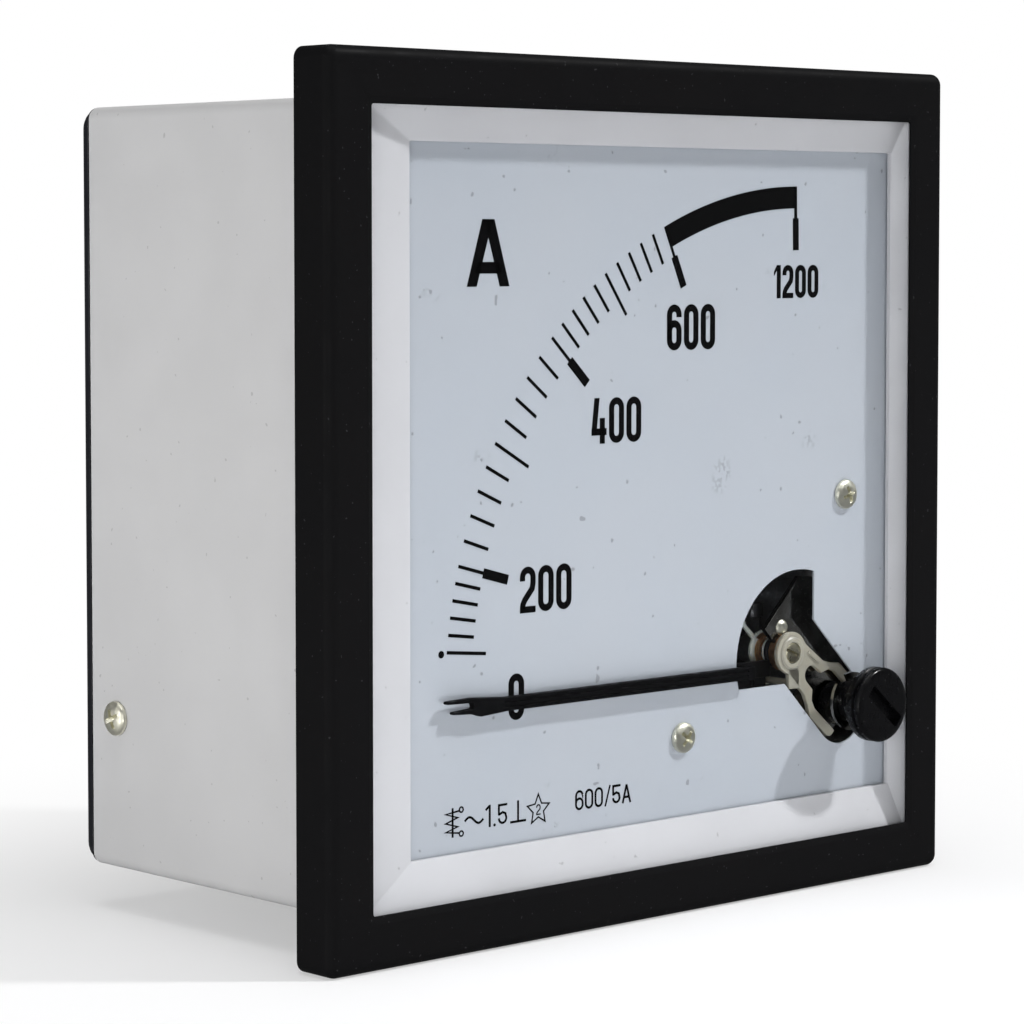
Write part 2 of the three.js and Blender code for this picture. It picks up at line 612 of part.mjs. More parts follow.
// The front knob with its shank through the pane, drawn about the adjuster's axis.
function zeroAdjuster() {
  const { radius, collar, shank, spigot, rise } = ADJUSTER;
  const face = fromFront(-rise);
  const behindPane = PANE_BACK + GAP + CLIP.thick + GAP / 2;
  const seat = PANE_FRONT - PANE.gap;
  const profile = [
    [0, face],
    [radius - KNOB_RIM.chamfer, face],
    [radius - KNOB_RIM.edge, face + KNOB_RIM.lip],
    [radius, face + KNOB_RIM.side],
    [radius, face + KNOB_RING.starts],
    [radius - KNOB_RING.depth, face + KNOB_RING.floor],
    [radius - KNOB_RING.depth, face + KNOB_RING.floorEnd],
    [radius, face + KNOB_RING.ends],
    [radius, face + KNOB_RIM.end],
    [radius - KNOB_RIM.foot, face + KNOB_BACK.starts],
    [collar, face + KNOB_BACK.collar],
    [collar, seat],
    [shank, seat],
    [shank, behindPane],
    [spigot, behindPane],
    [spigot, CAM.back],
    [0, CAM.back],
  ];
  const { length, width, depth } = ADJUSTER_SLOT;
  const groove = box(-length / 2, face - CLEARANCE, -width / 2, length / 2, face + depth, width / 2);
  return cut(turned(profile, 0, 0, FACET.large), groove.rotateY(-camDirection));
}

// The disc pressed off-centre on the knob's spigot.
function adjusterCam() {
  const { radius, throw: offset, front, back } = CAM;
  const disc = rod(radius, front, back, offset, 0, FACET.large);
  const bore = rod(ADJUSTER.spigot + BORE_PLAY, front - CLEARANCE, back + CLEARANCE);
  return cut(disc, bore).rotateY(-camDirection);
}

// The snap ring behind the pane that keeps the knob in.
function adjusterClip() {
  const { thick, outer, split, splitAngle } = CLIP;
  const front = PANE_BACK + GAP;
  const band = ring(ADJUSTER.shank + BORE_PLAY, outer, front, front + thick);
  const slit = box(0, front - CLEARANCE, -split, outer + CLEARANCE, front + CLEARANCE, split);
  return cut(band, slit.rotateY(radians(splitAngle)));
}

// ---- Fixed frame of the movement ----

function frontBridge() {
  const along = ({ t, s }) => [(t + s) * Math.SQRT1_2, (s - t) * Math.SQRT1_2];
  const { left, right, bottom, top, endT, endS } = BRIDGE_FLANK;
  const outline = polygon([
    ...BRIDGE_SLANT.map(along),
    [left, bottom],
    [right, bottom],
    [right, top],
    along({ t: endT, s: endS }),
  ]);
  const { front, back, ear } = BRIDGE;
  const blank = join(plate(outline, front, back), rod(ear, front, back));
  const fixings = BRIDGE_POSTS.map(({ x, z }) =>
    rod(SCREW.hole, front - CLEARANCE, back + CLEARANCE, x, z, FACET.small),
  );
  const jewelHole = rod(JEWEL.radius + BORE_PLAY, front - CLEARANCE, back + CLEARANCE);
  return cut(blank, jewelHole, ...fixings);
}

// A jewel screw along the pivot's axis; its head is at y = front and its cup at y = back, or the reverse.
function jewelScrew(radius, head, cup, slotWidth) {
  const inwards = Math.sign(cup - head);
  const cupFloor = cup - inwards * JEWEL_CUP.depth;
  const profile = [
    [0, head],
    [radius, head],
    [radius, cup],
    [JEWEL_CUP.radius, cup],
    [0, cupFloor],
  ];
  const blank = turned(inwards > 0 ? profile : profile.reverse());
  const ends = [head - inwards * CLEARANCE, head + inwards * JEWEL_CUP.slotDepth];
  const reach = radius + CLEARANCE;
  return cut(blank, box(-reach, Math.min(...ends), -slotWidth / 2, reach, Math.max(...ends), slotWidth / 2));
}

function chassis() {
  const { front, back, left, right, bottom, top, corner, bore } = CHASSIS;
  const dialBack = DIAL_FRONT + DIAL.thick;
  const rearEnd = REAR_BRIDGE.front - GAP;
  const bridgePlaces = BRIDGE_POSTS.map(({ x, z }) => ({ x: PIVOT.x + x, z: PIVOT.z + z }));
  const rods = (places, radius, from, to) => places.map(({ x, z }) => rod(radius, from, to, x, z, FACET.small));
  const base = plate(roundedRect(left, bottom, right, top, corner), front, back);
  const posts = [
    ...rods(DIAL_POSTS, POST.dial, dialBack + GAP, front + CLEARANCE),
    ...rods(bridgePlaces, POST.bridge, BRIDGE.back + GAP, front + CLEARANCE),
    ...rods(rearPostPlaces(), POST.rear, back - CLEARANCE, rearEnd),
  ];
  const holes = [
    ...rods(DIAL_POSTS, SCREW.hole, dialBack, dialBack + POST.tap),
    ...rods(bridgePlaces, SCREW.hole, BRIDGE.back, BRIDGE.back + POST.tap),
    ...rods(rearPostPlaces(), SCREW.hole, rearEnd - POST.tap, rearEnd + CLEARANCE),
    ...rods(CHASSIS_FIXINGS, SCREW.hole, front - CLEARANCE, back + CLEARANCE),
  ];
  return cut(join(base, ...posts), rod(bore, front - CLEARANCE, back + CLEARANCE, PIVOT.x, PIVOT.z), ...holes);
}

function rearPostPlaces() {
  return [REAR_POST_REACH, -REAR_POST_REACH].map((reach) => ({ x: PIVOT.x, z: PIVOT.z + reach }));
}

function rearBridge() {
  const { front, back, halfWidth, overhang, corner, boss, bossHeight } = REAR_BRIDGE;
  const end = REAR_POST_REACH + overhang;
  const bossEnd = back + bossHeight;
  const bar = plate(roundedRect(-halfWidth, -end, halfWidth, end, corner), front, back);
  const holes = [REAR_POST_REACH, -REAR_POST_REACH].map((z) =>
    rod(SCREW.hole, front - CLEARANCE, back + CLEARANCE, 0, z, FACET.small),
  );
  const jewelHole = rod(REAR_JEWEL.radius + BORE_PLAY, front - CLEARANCE, bossEnd + CLEARANCE);
  return cut(join(bar, rod(boss, front, bossEnd)), ...holes, jewelHole);
}

function stopPin() {
  return rod(STOP.radius, STOP.front, CHASSIS.front - GAP, 0, 0, FACET.small);
}

// The angle between an arm's middle and a pin that its side just touches.
const stopAngle = Math.asin((BALANCE.armWidth / 2 + STOP.radius + STOP.touch) / STOP.at);

function addStop(name, angle) {
  const place = { x: PIVOT.x + STOP.at * Math.cos(angle), z: PIVOT.z + STOP.at * Math.sin(angle) };
  add(name, stopPin(), "steel", place);
}

// A pan-headed screw along Y; direction +1 has its head towards -Y.
function panScrew(direction, length) {
  const { shank, headRadius } = SCREW;
  const { height: head, chamfer, chamferDepth, slotHalf, slotDepth } = PAN_HEAD;
  const reach = headRadius + CLEARANCE;
  const profile = [
    [0, -head],
    [headRadius - chamfer, -head],
    [headRadius, -head + chamferDepth],
    [headRadius, 0],
    [shank, 0],
    [shank, length],
    [0, length],
  ];
  const blank = turned(profile, 0, 0, FACET.small);
  const slotted = cut(blank, box(-reach, -head - CLEARANCE, -slotHalf, reach, -head + slotDepth, slotHalf));
  return direction > 0 ? slotted : slotted.rotateX(Math.PI);
}

// ---- Coil ----

function coilBobbin() {
  const { bore, sleeve: tube, flange, front, back, flangeThick } = BOBBIN;
  const profile = [
    [bore, front],
    [flange, front],
    [flange, front + flangeThick],
    [tube, front + flangeThick],
    [tube, back - flangeThick],
    [flange, back - flangeThick],
    [flange, back],
    [bore, back],
    [bore, front],
  ];
  return turned(profile, 0, 0, FACET.large);
}

function coilWinding() {
  const { radius, ridge, rows, endGap, sleeveGap } = WINDING;
  const inner = BOBBIN.sleeve + sleeveGap;
  const start = BOBBIN.front + BOBBIN.flangeThick + endGap;
  const end = BOBBIN.back - BOBBIN.flangeThick - endGap;
  const pitch = (end - start) / rows;
  const ridges = Array.from({ length: rows }, (_, i) => [
    [radius - ridge, start + i * pitch],
    [radius, start + (i + 0.5) * pitch],
  ]).flat();
  const profile = [[inner, start], ...ridges, [radius - ridge, end], [inner, end], [inner, start]];
  return turned(profile, 0, 0, FACET.large);
}

// ---- Terminals ----

// A strip from the terminal stud to a tag over the coil, and a leg forward to the bobbin's rear flange.
function leadStrap(studX, tagAngle) {
  const { thick, halfWidth, eye, tagRadius, legHalf, legThick } = STRAP;
  const back = COVER_FRONT - GAP;
  const front = back - thick;
  const tagX = PIVOT.x + tagRadius * Math.cos(radians(tagAngle));
  const tagZ = PIVOT.z + tagRadius * Math.sin(radians(tagAngle));
  const run = new THREE.Vector2(tagX - studX, tagZ - STUD.z);
  const strip = box(0, front, -halfWidth, run.length(), back, halfWidth);
  strip.rotateY(-run.angle()).translate(studX, 0, STUD.z);
  const legLow = tagZ - legThick / 2;
  const leg = box(tagX - legHalf, BOBBIN.back + GAP, legLow, tagX + legHalf, back, legLow + legThick);
  const ends = [rod(eye, front, back, studX, STUD.z), rod(halfWidth, front, back, tagX, tagZ)];
  const studHole = rod(STUD.hole, front - CLEARANCE, back + CLEARANCE, studX, STUD.z);
  return cut(join(strip, ...ends, leg), studHole);
}

function terminalStud() {
  const underHead = COVER_FRONT - 2 * GAP - STRAP.thick;
  const { radius, headRadius, headHeight, end, point, pointInset } = STUD;
  const profile = [
    [0, underHead - headHeight],
    [headRadius, underHead - headHeight],
    [headRadius, underHead],
    [radius, underHead],
    [radius, end - point],
    [radius - pointInset, end],
    [0, end],
  ];
  return turned(profile);
}

function hexNut() {
  const corner = NUT.across / Math.sqrt(3);
  const sides = Array.from({ length: 6 }, (_, i) => (i * Math.PI) / 3);
  const blank = polygon(sides.map((angle) => [corner * Math.cos(angle), corner * Math.sin(angle)]));
  blank.holes.push(new THREE.Path().absarc(0, 0, STUD.radius + BORE_PLAY, 0, 2 * Math.PI, true));
  return plate(blank, 0, NUT.height, FACET.small);
}

function addTerminal(side, label, tagAngle) {
  const x = side * STUD.x;
  const seat = COVER.back + STUD_BOSS.height + GAP;
  add("lead_strap_" + label, leadStrap(x, tagAngle), "copper");
  add("terminal_stud_" + label, terminalStud(), "brass", { x, z: STUD.z });
  const washer = ring(STUD.radius + BORE_PLAY, WASHER.radius, 0, WASHER.height);
  add("terminal_washer_" + label, washer, "brass", { x, y: seat, z: STUD.z });
  add("terminal_nut_" + label, hexNut(), "brass", { x, y: seat + WASHER.height + GAP, z: STUD.z });
}

// ---- Building ----

add("bezel_frame", bezelFrame(), "blackPlastic");
add("window_pane", windowPane(), "acrylic");
add("case_body", caseBody(), "whitePlastic");
add("rear_cover", rearCover(), "blackPlastic");
addSideScrew("cover_screw_left", -1);
addSideScrew("cover_screw_right", 1);
add("dial_surround", dialSurround(), "whitePlastic");
add("dial_plate", dialPlate(), "dialPaint");
addDialScrews();

onPivot("pointer", pointer(), "pointerBlack");
onPivot("pointer_foot", pointerFoot(), "darkGrey");
onPivot("spindle", spindle(), "steel");
onPivot("spindle_collar", sleeve(COLLAR.radius, COLLAR.front, COLLAR.back), "milkyPlastic");
onPivot("balance_cross", balanceCross(), "castMetal");
onPivot("balance_weight_long", balanceWeight(LONG_WEIGHT), "brass");
onPivot("balance_weight_short", balanceWeight(SHORT_WEIGHT).rotateY(-Math.PI / 2), "brass");
onPivot("moving_iron_vane", movingIron(), "iron");

onPivot("hairspring", hairspring(), "bronze");
onPivot("spring_anchor", springAnchor(), "milkyPlastic");
onPivot("zero_lever", zeroLever(), "creamPlastic");
add("zero_adjuster", zeroAdjuster(), "glossBlack", ADJUSTER);
add("adjuster_cam", adjusterCam(), "glossBlack", ADJUSTER);
add("adjuster_clip", adjusterClip(), "steel", ADJUSTER);

onPivot("front_bridge", frontBridge(), "steel");
onPivot("front_jewel_screw", jewelScrew(JEWEL.radius, JEWEL.front, JEWEL.back, JEWEL.slot), "brass");
BRIDGE_POSTS.forEach(({ x, z }, i) => {
  const place = { x: PIVOT.x + x, y: BRIDGE.front - SEAT_GAP, z: PIVOT.z + z };
  add(["bridge_screw_lower", "bridge_screw_upper"][i], panScrew(1, SCREW.length), "steel", place);
});
add("movement_chassis", chassis(), "castMetal");
CHASSIS_FIXINGS.forEach(({ x, z }, i) => {
  const place = { x, y: CHASSIS.front - SEAT_GAP, z };
  add(["chassis_screw_upper", "chassis_screw_lower"][i], panScrew(1, SCREW.length), "zinc", place);
});
addStop("stop_pin_low", stopAngle);
addStop("stop_pin_high", -FULL_TRAVEL - stopAngle);

onPivot("coil_bobbin", coilBobbin(), "bobbinPlastic");
onPivot("coil_winding", coilWinding(), "copper");
const { inner, outer, front, back, from, to } = FIXED_IRON;
onPivot("fixed_iron_vane", arcPlate(inner, outer, front, back, from, to, { x: 0, z: 0 }), "iron");
onPivot("rear_bridge", rearBridge(), "steel");
const rearJewel = jewelScrew(REAR_JEWEL.radius, REAR_JEWEL.back, REAR_JEWEL.front, REAR_JEWEL.slot);
onPivot("rear_jewel_screw", rearJewel, "brass");
rearPostPlaces().forEach(({ x, z }, i) => {
  const name = ["rear_bridge_screw_upper", "rear_bridge_screw_lower"][i];
  add(name, panScrew(-1, SCREW.length), "steel", { x, y: REAR_BRIDGE.back + SEAT_GAP, z });
});

addTerminal(-1, "left", STRAP.tagAngles[0]);
addTerminal(1, "right", STRAP.tagAngles[1]);

export default meter;
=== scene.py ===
import math

import bmesh
import bpy
from mathutils import Matrix, Vector


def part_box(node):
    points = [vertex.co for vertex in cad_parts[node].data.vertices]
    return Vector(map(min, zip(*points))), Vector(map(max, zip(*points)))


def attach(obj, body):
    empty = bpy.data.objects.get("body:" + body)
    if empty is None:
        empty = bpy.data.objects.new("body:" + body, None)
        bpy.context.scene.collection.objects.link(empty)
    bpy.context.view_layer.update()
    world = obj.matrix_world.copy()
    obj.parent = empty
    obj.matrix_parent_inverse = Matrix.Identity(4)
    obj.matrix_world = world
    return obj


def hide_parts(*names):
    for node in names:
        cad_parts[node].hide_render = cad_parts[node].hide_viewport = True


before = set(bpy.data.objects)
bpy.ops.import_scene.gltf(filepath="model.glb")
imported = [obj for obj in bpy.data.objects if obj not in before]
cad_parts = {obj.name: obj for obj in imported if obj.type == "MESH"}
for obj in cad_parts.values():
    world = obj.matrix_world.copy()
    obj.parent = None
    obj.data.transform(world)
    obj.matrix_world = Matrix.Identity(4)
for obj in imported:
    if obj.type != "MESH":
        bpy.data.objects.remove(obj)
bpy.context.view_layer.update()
MM = 0.001


def span(node):
    """The lowest and highest corners of a CAD node."""
    low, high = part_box(node)
    return low / MM, high / MM


def extent(node):
    """The lowest corner, the highest corner and the middle of a CAD node."""
    low, high = span(node)
    return low, high, (low + high) / 2


def centre(node):
    return extent(node)[2]


# ---- Places read from the frame ----

BEZEL_LOW, BEZEL_HIGH = span("bezel_frame")
FRONT = BEZEL_LOW.y  # the bezel's front face
HALF = BEZEL_HIGH.x
CASE_LOW, CASE_HIGH = span("case_body")
COVER_LOW, COVER_HIGH = span("rear_cover")
DIAL_LOW, DIAL_HIGH = span("dial_plate")
SURROUND_LOW, SURROUND_HIGH = span("dial_surround")
PANE_LOW, PANE_HIGH = span("window_pane")
PIVOT = centre("spindle")
KNOB = centre("zero_adjuster")
KNOB_LOW, KNOB_HIGH = span("zero_adjuster")
CHASSIS_LOW, CHASSIS_HIGH = span("movement_chassis")
WASHER_LOW = span("terminal_washer_left")[0]
STUDS = [centre("terminal_stud_left"), centre("terminal_stud_right")]
DIAL_SCREWS = [centre("dial_screw_upper"), centre("dial_screw_lower")]

# ---- Driving dimensions ----

WINDOW_HALF = 42.1
WINDOW_SLOPE = 0.7
CASE_HALF = 43.05
CASE_WALL = 1.8
LIP = {"left": -34.4, "right": 41.9, "bottom": -37.7, "top": 38.5}
RIM_HALF = 43.2
COVER_PANEL = 45.0
COVER_ROUND = 2.0
BARRIER_REACH, BARRIER_HALF = 14, 1.2
DIAL_SHEET = 0.3
LIP_DEPTH = 3.2
POCKET_HALF = 45.6
MITRE = 0.35  # a stroke's corner is no sharper than this
SCALE_X, SCALE_Z, SCALE_R = 26.8, -21.3, 55.66
SCALE_MARKS = [(0, 5.5), (200, 15.1), (400, 44.1), (600, 66.2), (1200, 89.15)]
SHORT_TICK, LONG_TICK, THICK_INNER, BAND_INNER = 51.95, 50.0, 48.2, 53.1
TICK_WIDTH, THICK_TICK = 0.38, 1.1
CUT_X, CUT_Z, CUT_R = 26.8, -21.2, 10.5
CUT_RIGHT, CUT_FLOOR = 2.76, -2.9
CHANNEL_HALF, CHANNEL_X, CHANNEL_Z = 4.33, 7.47, -6.52
INK = 0.03
CAM_TURN = math.atan2(KNOB.z - PIVOT.z, KNOB.x - PIVOT.x)
SPRING_END = math.radians(137)  # where the hairspring meets its anchor's arm
DIAGONAL = math.sqrt(0.5)
CREASE = 32  # degrees from which an edge is shaded sharp

# ---- Outlines ----


def arc(x, z, radius, start, end, steps=16):
    """Points on an arc, with the angles in degrees."""
    turn = [math.radians(start + (end - start) * i / steps) for i in range(steps + 1)]
    return [(x + radius * math.cos(a), z + radius * math.sin(a)) for a in turn]


def circle(x, z, radius, steps=48):
    return arc(x, z, radius, 0, 360, steps)[:-1]


def rounded_rect(left, bottom, right, top, radius, steps=8):
    r = max(radius, 0.02)
    corners = [
        (right - r, top - r, 0), (left + r, top - r, 90), (left + r, bottom + r, 180),
        (right - r, bottom + r, 270),
    ]
    return [p for x, z, start in corners for p in arc(x, z, r, start, start + 90, steps)]


def square(half, radius, steps=8):
    return rounded_rect(-half, -half, half, half, radius, steps)


def turned_by(points, angle, x=0.0, z=0.0):
    """Points turned by an angle in radians and then moved."""
    c, s = math.cos(angle), math.sin(angle)
    return [(x + c * px - s * pz, z + s * px + c * pz) for px, pz in points]


# ---- Meshes ----


def smooth_shade(mesh, crease=CREASE):
    mesh.shade_smooth()
    mesh.set_sharp_from_angle(angle=math.radians(crease))


def linked(name, data):
    """A new object in the scene."""
    obj = bpy.data.objects.new(name, data)
    bpy.context.scene.collection.objects.link(obj)
    return obj


def finished(name, bm, crease=CREASE):
    """A bmesh that is already in metres, as an object."""
    mesh = bpy.data.meshes.new(name)
    bm.to_mesh(mesh)
    bm.free()
    smooth_shade(mesh, crease)
    return linked(name, mesh)


def to_mesh_object(name, bm, crease=CREASE):
    bmesh.ops.recalc_face_normals(bm, faces=bm.faces)
    bmesh.ops.scale(bm, vec=(MM, MM, MM), verts=bm.verts)
    return finished(name, bm, crease)


def add_skin(bm, rings, closed):
    """Adds a skin through rings of points that all have the same count. Open skins get end caps."""
    rows = [[bm.verts.new(p) for p in ring] for ring in rings]
    count = len(rows[0])
    pairs = list(zip(rows, rows[1:])) + ([(rows[-1], rows[0])] if closed else [])
    for a, b in pairs:
        for i in range(count):
            j = (i + 1) % count
            bm.faces.new((a[i], a[j], b[j], b[i]))
    if not closed:
        bm.faces.new(rows[0])
        bm.faces.new(reversed(rows[-1]))


def loft(rings, closed=True):
    bm = bmesh.new()
    add_skin(bm, rings, closed)
    return bm


def ring_at(outline, y):
    return [(x, y, z) for x, z in outline]


def plate(outline, holes, front, back, bevel=0.08, steps=2):
    """A flat plate square to Y with softened edges, as a bmesh."""
    curve = bpy.data.curves.new("plate", "CURVE")
    curve.dimensions = "2D"
    curve.fill_mode = "BOTH"
    for points in [outline, *holes]:
        spline = curve.splines.new("POLY")
        spline.points.add(len(points) - 1)
        for target, (x, z) in zip(spline.points, points):
            target.co = (x, z, 0, 1)
        spline.use_cyclic_u = True
    curve.extrude = (back - front) / 2 - bevel
    curve.bevel_depth = bevel
    curve.bevel_resolution = steps
    curve.offset = -bevel
    holder = linked("plate", curve)
    graph = bpy.context.evaluated_depsgraph_get()
    mesh = bpy.data.meshes.new_from_object(holder.evaluated_get(graph))
    bm = bmesh.new()
    bm.from_mesh(mesh)
    bmesh.ops.remove_doubles(bm, verts=bm.verts, dist=1e-4)
    stand = Matrix.Translation((0, (front + back) / 2, 0)) @ Matrix.Rotation(math.pi / 2, 4, "X")
    bmesh.ops.transform(bm, matrix=stand, verts=bm.verts)
    bpy.data.objects.remove(holder)
    bpy.data.curves.remove(curve)
    bpy.data.meshes.remove(mesh)
    return bm


def lathe(profile, x=0.0, z=0.0, steps=64):
    """A turned body on an axis along Y. The profile is [radius, y] pairs that start and end on the axis,
    or that close on themselves."""
    closed = profile[0][0] > 1e-6
    inner = profile if closed else profile[1:-1]
    return loft([ring_at(circle(x, z, r, steps), y) for r, y in inner], closed)


def box(low, high):
    bm = bmesh.new()
    bmesh.ops.create_cube(bm, size=1)
    bmesh.ops.scale(bm, vec=[b - a for a, b in zip(low, high)], verts=bm.verts)
    bmesh.ops.translate(bm, vec=[(a + b) / 2 for a, b in zip(low, high)], verts=bm.verts)
    return bm


def soften(bm, width, angle=30, segments=2):
    """Rounds the edges that are sharper than an angle in degrees."""
    sharp = [e for e in bm.edges if len(e.link_faces) == 2 and e.calc_face_angle(0) > math.radians(angle)]
    bmesh.ops.bevel(
        bm, geom=sharp, offset=width, segments=segments, profile=0.5, affect="EDGES", clamp_overlap=True
    )
    return bm


def join(*parts):
    """One bmesh with the faces of several."""
    whole = bmesh.new()
    for part in parts:
        mesh = bpy.data.meshes.new("part")
        part.to_mesh(mesh)
        part.free()
        whole.from_mesh(mesh)
        bpy.data.meshes.remove(mesh)
    return whole


def carve(obj, *cutters):
    """Cuts bmeshes out of a finished object."""
    for cutter in cutters:
        tool = to_mesh_object("tool", cutter)
        change = obj.modifiers.new("cut", "BOOLEAN")
        change.operation = "DIFFERENCE"
        change.solver = "EXACT"
        change.object = tool
        graph = bpy.context.evaluated_depsgraph_get()
        mesh = bpy.data.meshes.new_from_object(obj.evaluated_get(graph))
        obj.modifiers.clear()
        obj.data = mesh
        bpy.data.objects.remove(tool)
    smooth_shade(obj.data)
    return obj


def slot_tool(reach, top, bottom, half, turn, x, z):
    """A bar that cuts a screwdriver slot, turned about Y and then moved to x, z."""
    bm = box((-reach, top, -half), (reach, bottom, half))
    bmesh.ops.rotate(bm, verts=bm.verts, cent=(0, 0, 0), matrix=Matrix.Rotation(turn, 3, "Y"))
    bmesh.ops.translate(bm, verts=bm.verts, vec=(x, 0, z))
    return bm


def piece(name, bm, body, material, replaces=(), crease=CREASE):
    """Adds a finished piece that rides on a body."""
    obj = bm if isinstance(bm, bpy.types.Object) else to_mesh_object(name, bm, crease)
    obj.name = name
    obj.data.materials.clear()
    obj.data.materials.append(material)
    shading = obj.modifiers.new("even_shading", "WEIGHTED_NORMAL")
    shading.keep_sharp = True
    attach(obj, body)
    if replaces:
        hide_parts(*replaces)
    return obj


# ---- Materials ----


class Look:
    """A material with one Principled shader, and short ways to vary it over the surface."""

    def __init__(self, name, colour, roughness, metallic=0.0):
        self.material = bpy.data.materials.new(name)
        self.material.use_nodes = True
        self.tree = self.material.node_tree
        self.shader = self.tree.nodes["Principled BSDF"]
        self.shader.inputs["Base Color"].default_value = (*colour, 1)
        self.shader.inputs["Roughness"].default_value = roughness
        self.shader.inputs["Metallic"].default_value = metallic
        self.colour = colour
        self.coords = self.node("TexCoord").outputs["Object"]

    def link(self, source, target):
        self.tree.links.new(source, target)

    def node(self, kind, **values):
        made = self.tree.nodes.new("ShaderNode" + kind)
        for key, value in values.items():
            setattr(made, key, value)
        return made

    def set(self, **values):
        for key, value in values.items():
            self.shader.inputs[key.replace("_", " ")].default_value = value
        return self

    def noise(self, size, detail=3.0, stretch=(1, 1, 1), rough=0.5):
        """Noise with blotches of a size in millimetres."""
        mapping = self.node("Mapping")
        mapping.inputs["Scale"].default_value = [s / (size * MM) for s in stretch]
        self.link(self.coords, mapping.inputs["Vector"])
        texture = self.node("TexNoise")
        texture.inputs["Scale"].default_value = 1.0
        texture.inputs["Detail"].default_value = detail
        texture.inputs["Roughness"].default_value = rough
        self.link(mapping.outputs[0], texture.inputs["Vector"])
        return texture.outputs["Fac"]

    def ramp(self, value, low, high, at=(0.35, 0.65)):
        """A value mapped to run from low to high."""
        node = self.node("MapRange", interpolation_type="SMOOTHSTEP")
        for key, number in zip(("From Min", "From Max", "To Min", "To Max"), (*at, low, high)):
            node.inputs[key].default_value = number
        self.link(value, node.inputs["Value"])
        return node.outputs["Result"]

    def times(self, a, b):
        node = self.node("Math", operation="MULTIPLY")
        self.link(a, node.inputs[0])
        self.link(b, node.inputs[1])
        return node.outputs[0]

    def tint(self, share, other):
        """Mixes another colour in by a share between 0 and 1."""
        mix = self.node("Mix", data_type="RGBA")
        socket = self.shader.inputs["Base Color"]
        if socket.is_linked:
            self.link(socket.links[0].from_socket, mix.inputs["A"])
        else:
            mix.inputs["A"].default_value = (*self.colour, 1)
        mix.inputs["B"].default_value = (*other, 1)
        self.link(share, mix.inputs["Factor"])
        self.link(mix.outputs["Result"], socket)
        return self

    def gloss(self, value, low, high, at=(0.35, 0.65)):
        self.link(self.ramp(value, low, high, at), self.shader.inputs["Roughness"])
        return self

    def bump(self, height, depth, strength=1.0):
        """Raises the surface by a height map with a depth in millimetres."""
        node = self.node("Bump")
        node.inputs["Strength"].default_value = strength
        node.inputs["Distance"].default_value = depth * MM
        self.link(height, node.inputs["Height"])
        target = self.shader.inputs["Normal"]
        if target.is_linked:
            self.link(target.links[0].from_socket, node.inputs["Normal"])
        self.link(node.outputs[0], target)
        return self

    def specks(self, size, share):
        """1 in small scattered specks and 0 elsewhere."""
        return self.ramp(self.noise(size, detail=1.0), 0.0, 1.0, at=(share, share + 0.04))

    def finish(self, mix):
        """Sends a mix of shaders to the surface."""
        output = next(n for n in self.tree.nodes if n.type == "OUTPUT_MATERIAL")
        self.link(mix.outputs[0], output.inputs["Surface"])


def moulded_black():
    look = Look("moulded_black", (0.006, 0.006, 0.0065), 0.5)
    look.set(Specular_IOR_Level=0.03)
    look.tint(look.ramp(look.noise(9, detail=4), 0.0, 0.5), (0.0065, 0.0063, 0.0065))
    look.tint(look.specks(0.4, 0.74), (0.03, 0.03, 0.032))
    look.gloss(look.noise(6), 0.44, 0.58)
    look.bump(look.noise(0.18, detail=2), 0.012, 0.5)
    look.bump(look.noise(1.6, detail=2), 0.01, 0.25)
    return look.material


def cover_black():
    look = Look("cover_black", (0.005, 0.0055, 0.009), 0.55)
    look.set(Specular_IOR_Level=0.25)
    look.tint(look.specks(0.5, 0.74), (0.03, 0.03, 0.035))
    look.gloss(look.noise(5), 0.48, 0.62)
    look.bump(look.noise(0.35, detail=2), 0.03, 0.6)
    return look.material


def moulded_white(name, colour, grain):
    look = Look(name, colour, 0.42)
    shade = tuple(c * 0.9 for c in colour)
    look.tint(look.ramp(look.noise(14, detail=2), 0.0, 0.35), shade)
    look.tint(look.specks(0.8, 0.76), tuple(c * 0.72 for c in colour))
    look.gloss(look.noise(4), 0.36, 0.48)
    look.bump(look.noise(grain, detail=2), 0.008, 0.35)
    return look.material


def dial_paint():
    look = Look("dial_paint", (0.432, 0.461, 0.504), 0.5)
    look.tint(look.ramp(look.noise(18, detail=3), 0.0, 0.3), (0.454, 0.472, 0.504))
    look.tint(look.specks(1.1, 0.75), (0.274, 0.288, 0.31))
    patches = look.ramp(look.noise(9, detail=5), 0, 1, at=(0.66, 0.8))
    look.tint(look.times(patches, look.specks(0.6, 0.5)), (0.216, 0.223, 0.245))
    look.gloss(look.noise(3), 0.42, 0.56)
    look.bump(look.noise(0.25, detail=2), 0.004, 0.3)
    return look.material


def printing_ink():
    look = Look("printing_ink", (0.001, 0.001, 0.0012), 0.6)
    look.set(Specular_IOR_Level=0.04)
    look.tint(look.specks(0.18, 0.76), (0.05, 0.05, 0.055))
    look.gloss(look.noise(0.8), 0.5, 0.7)
    return look.material


def metal(name, colour, roughness, scratch=0.0, stretch=(1, 1, 12)):
    look = Look(name, colour, roughness, 1.0)
    dark = tuple(c * 0.8 for c in colour)
    look.tint(look.ramp(look.noise(1.2, detail=4), 0.0, 0.5), dark)
    look.gloss(look.noise(0.5, detail=4), roughness * 0.75, roughness * 1.3)
    if scratch:
        look.bump(look.noise(0.3, detail=3, stretch=stretch), scratch, 0.5)
    return look.material


def polished_steel():
    look = Look("polished_steel", (0.33, 0.32, 0.30), 0.12, 1.0)
    look.tint(look.ramp(look.noise(3.5, detail=3), 0.0, 1.0), (0.12, 0.115, 0.105))
    look.tint(look.specks(0.22, 0.70), (0.62, 0.60, 0.56))
    look.gloss(look.noise(1.4, detail=4), 0.06, 0.2)
    look.bump(look.noise(1.8, detail=3), 0.02, 0.35)
    return look.material


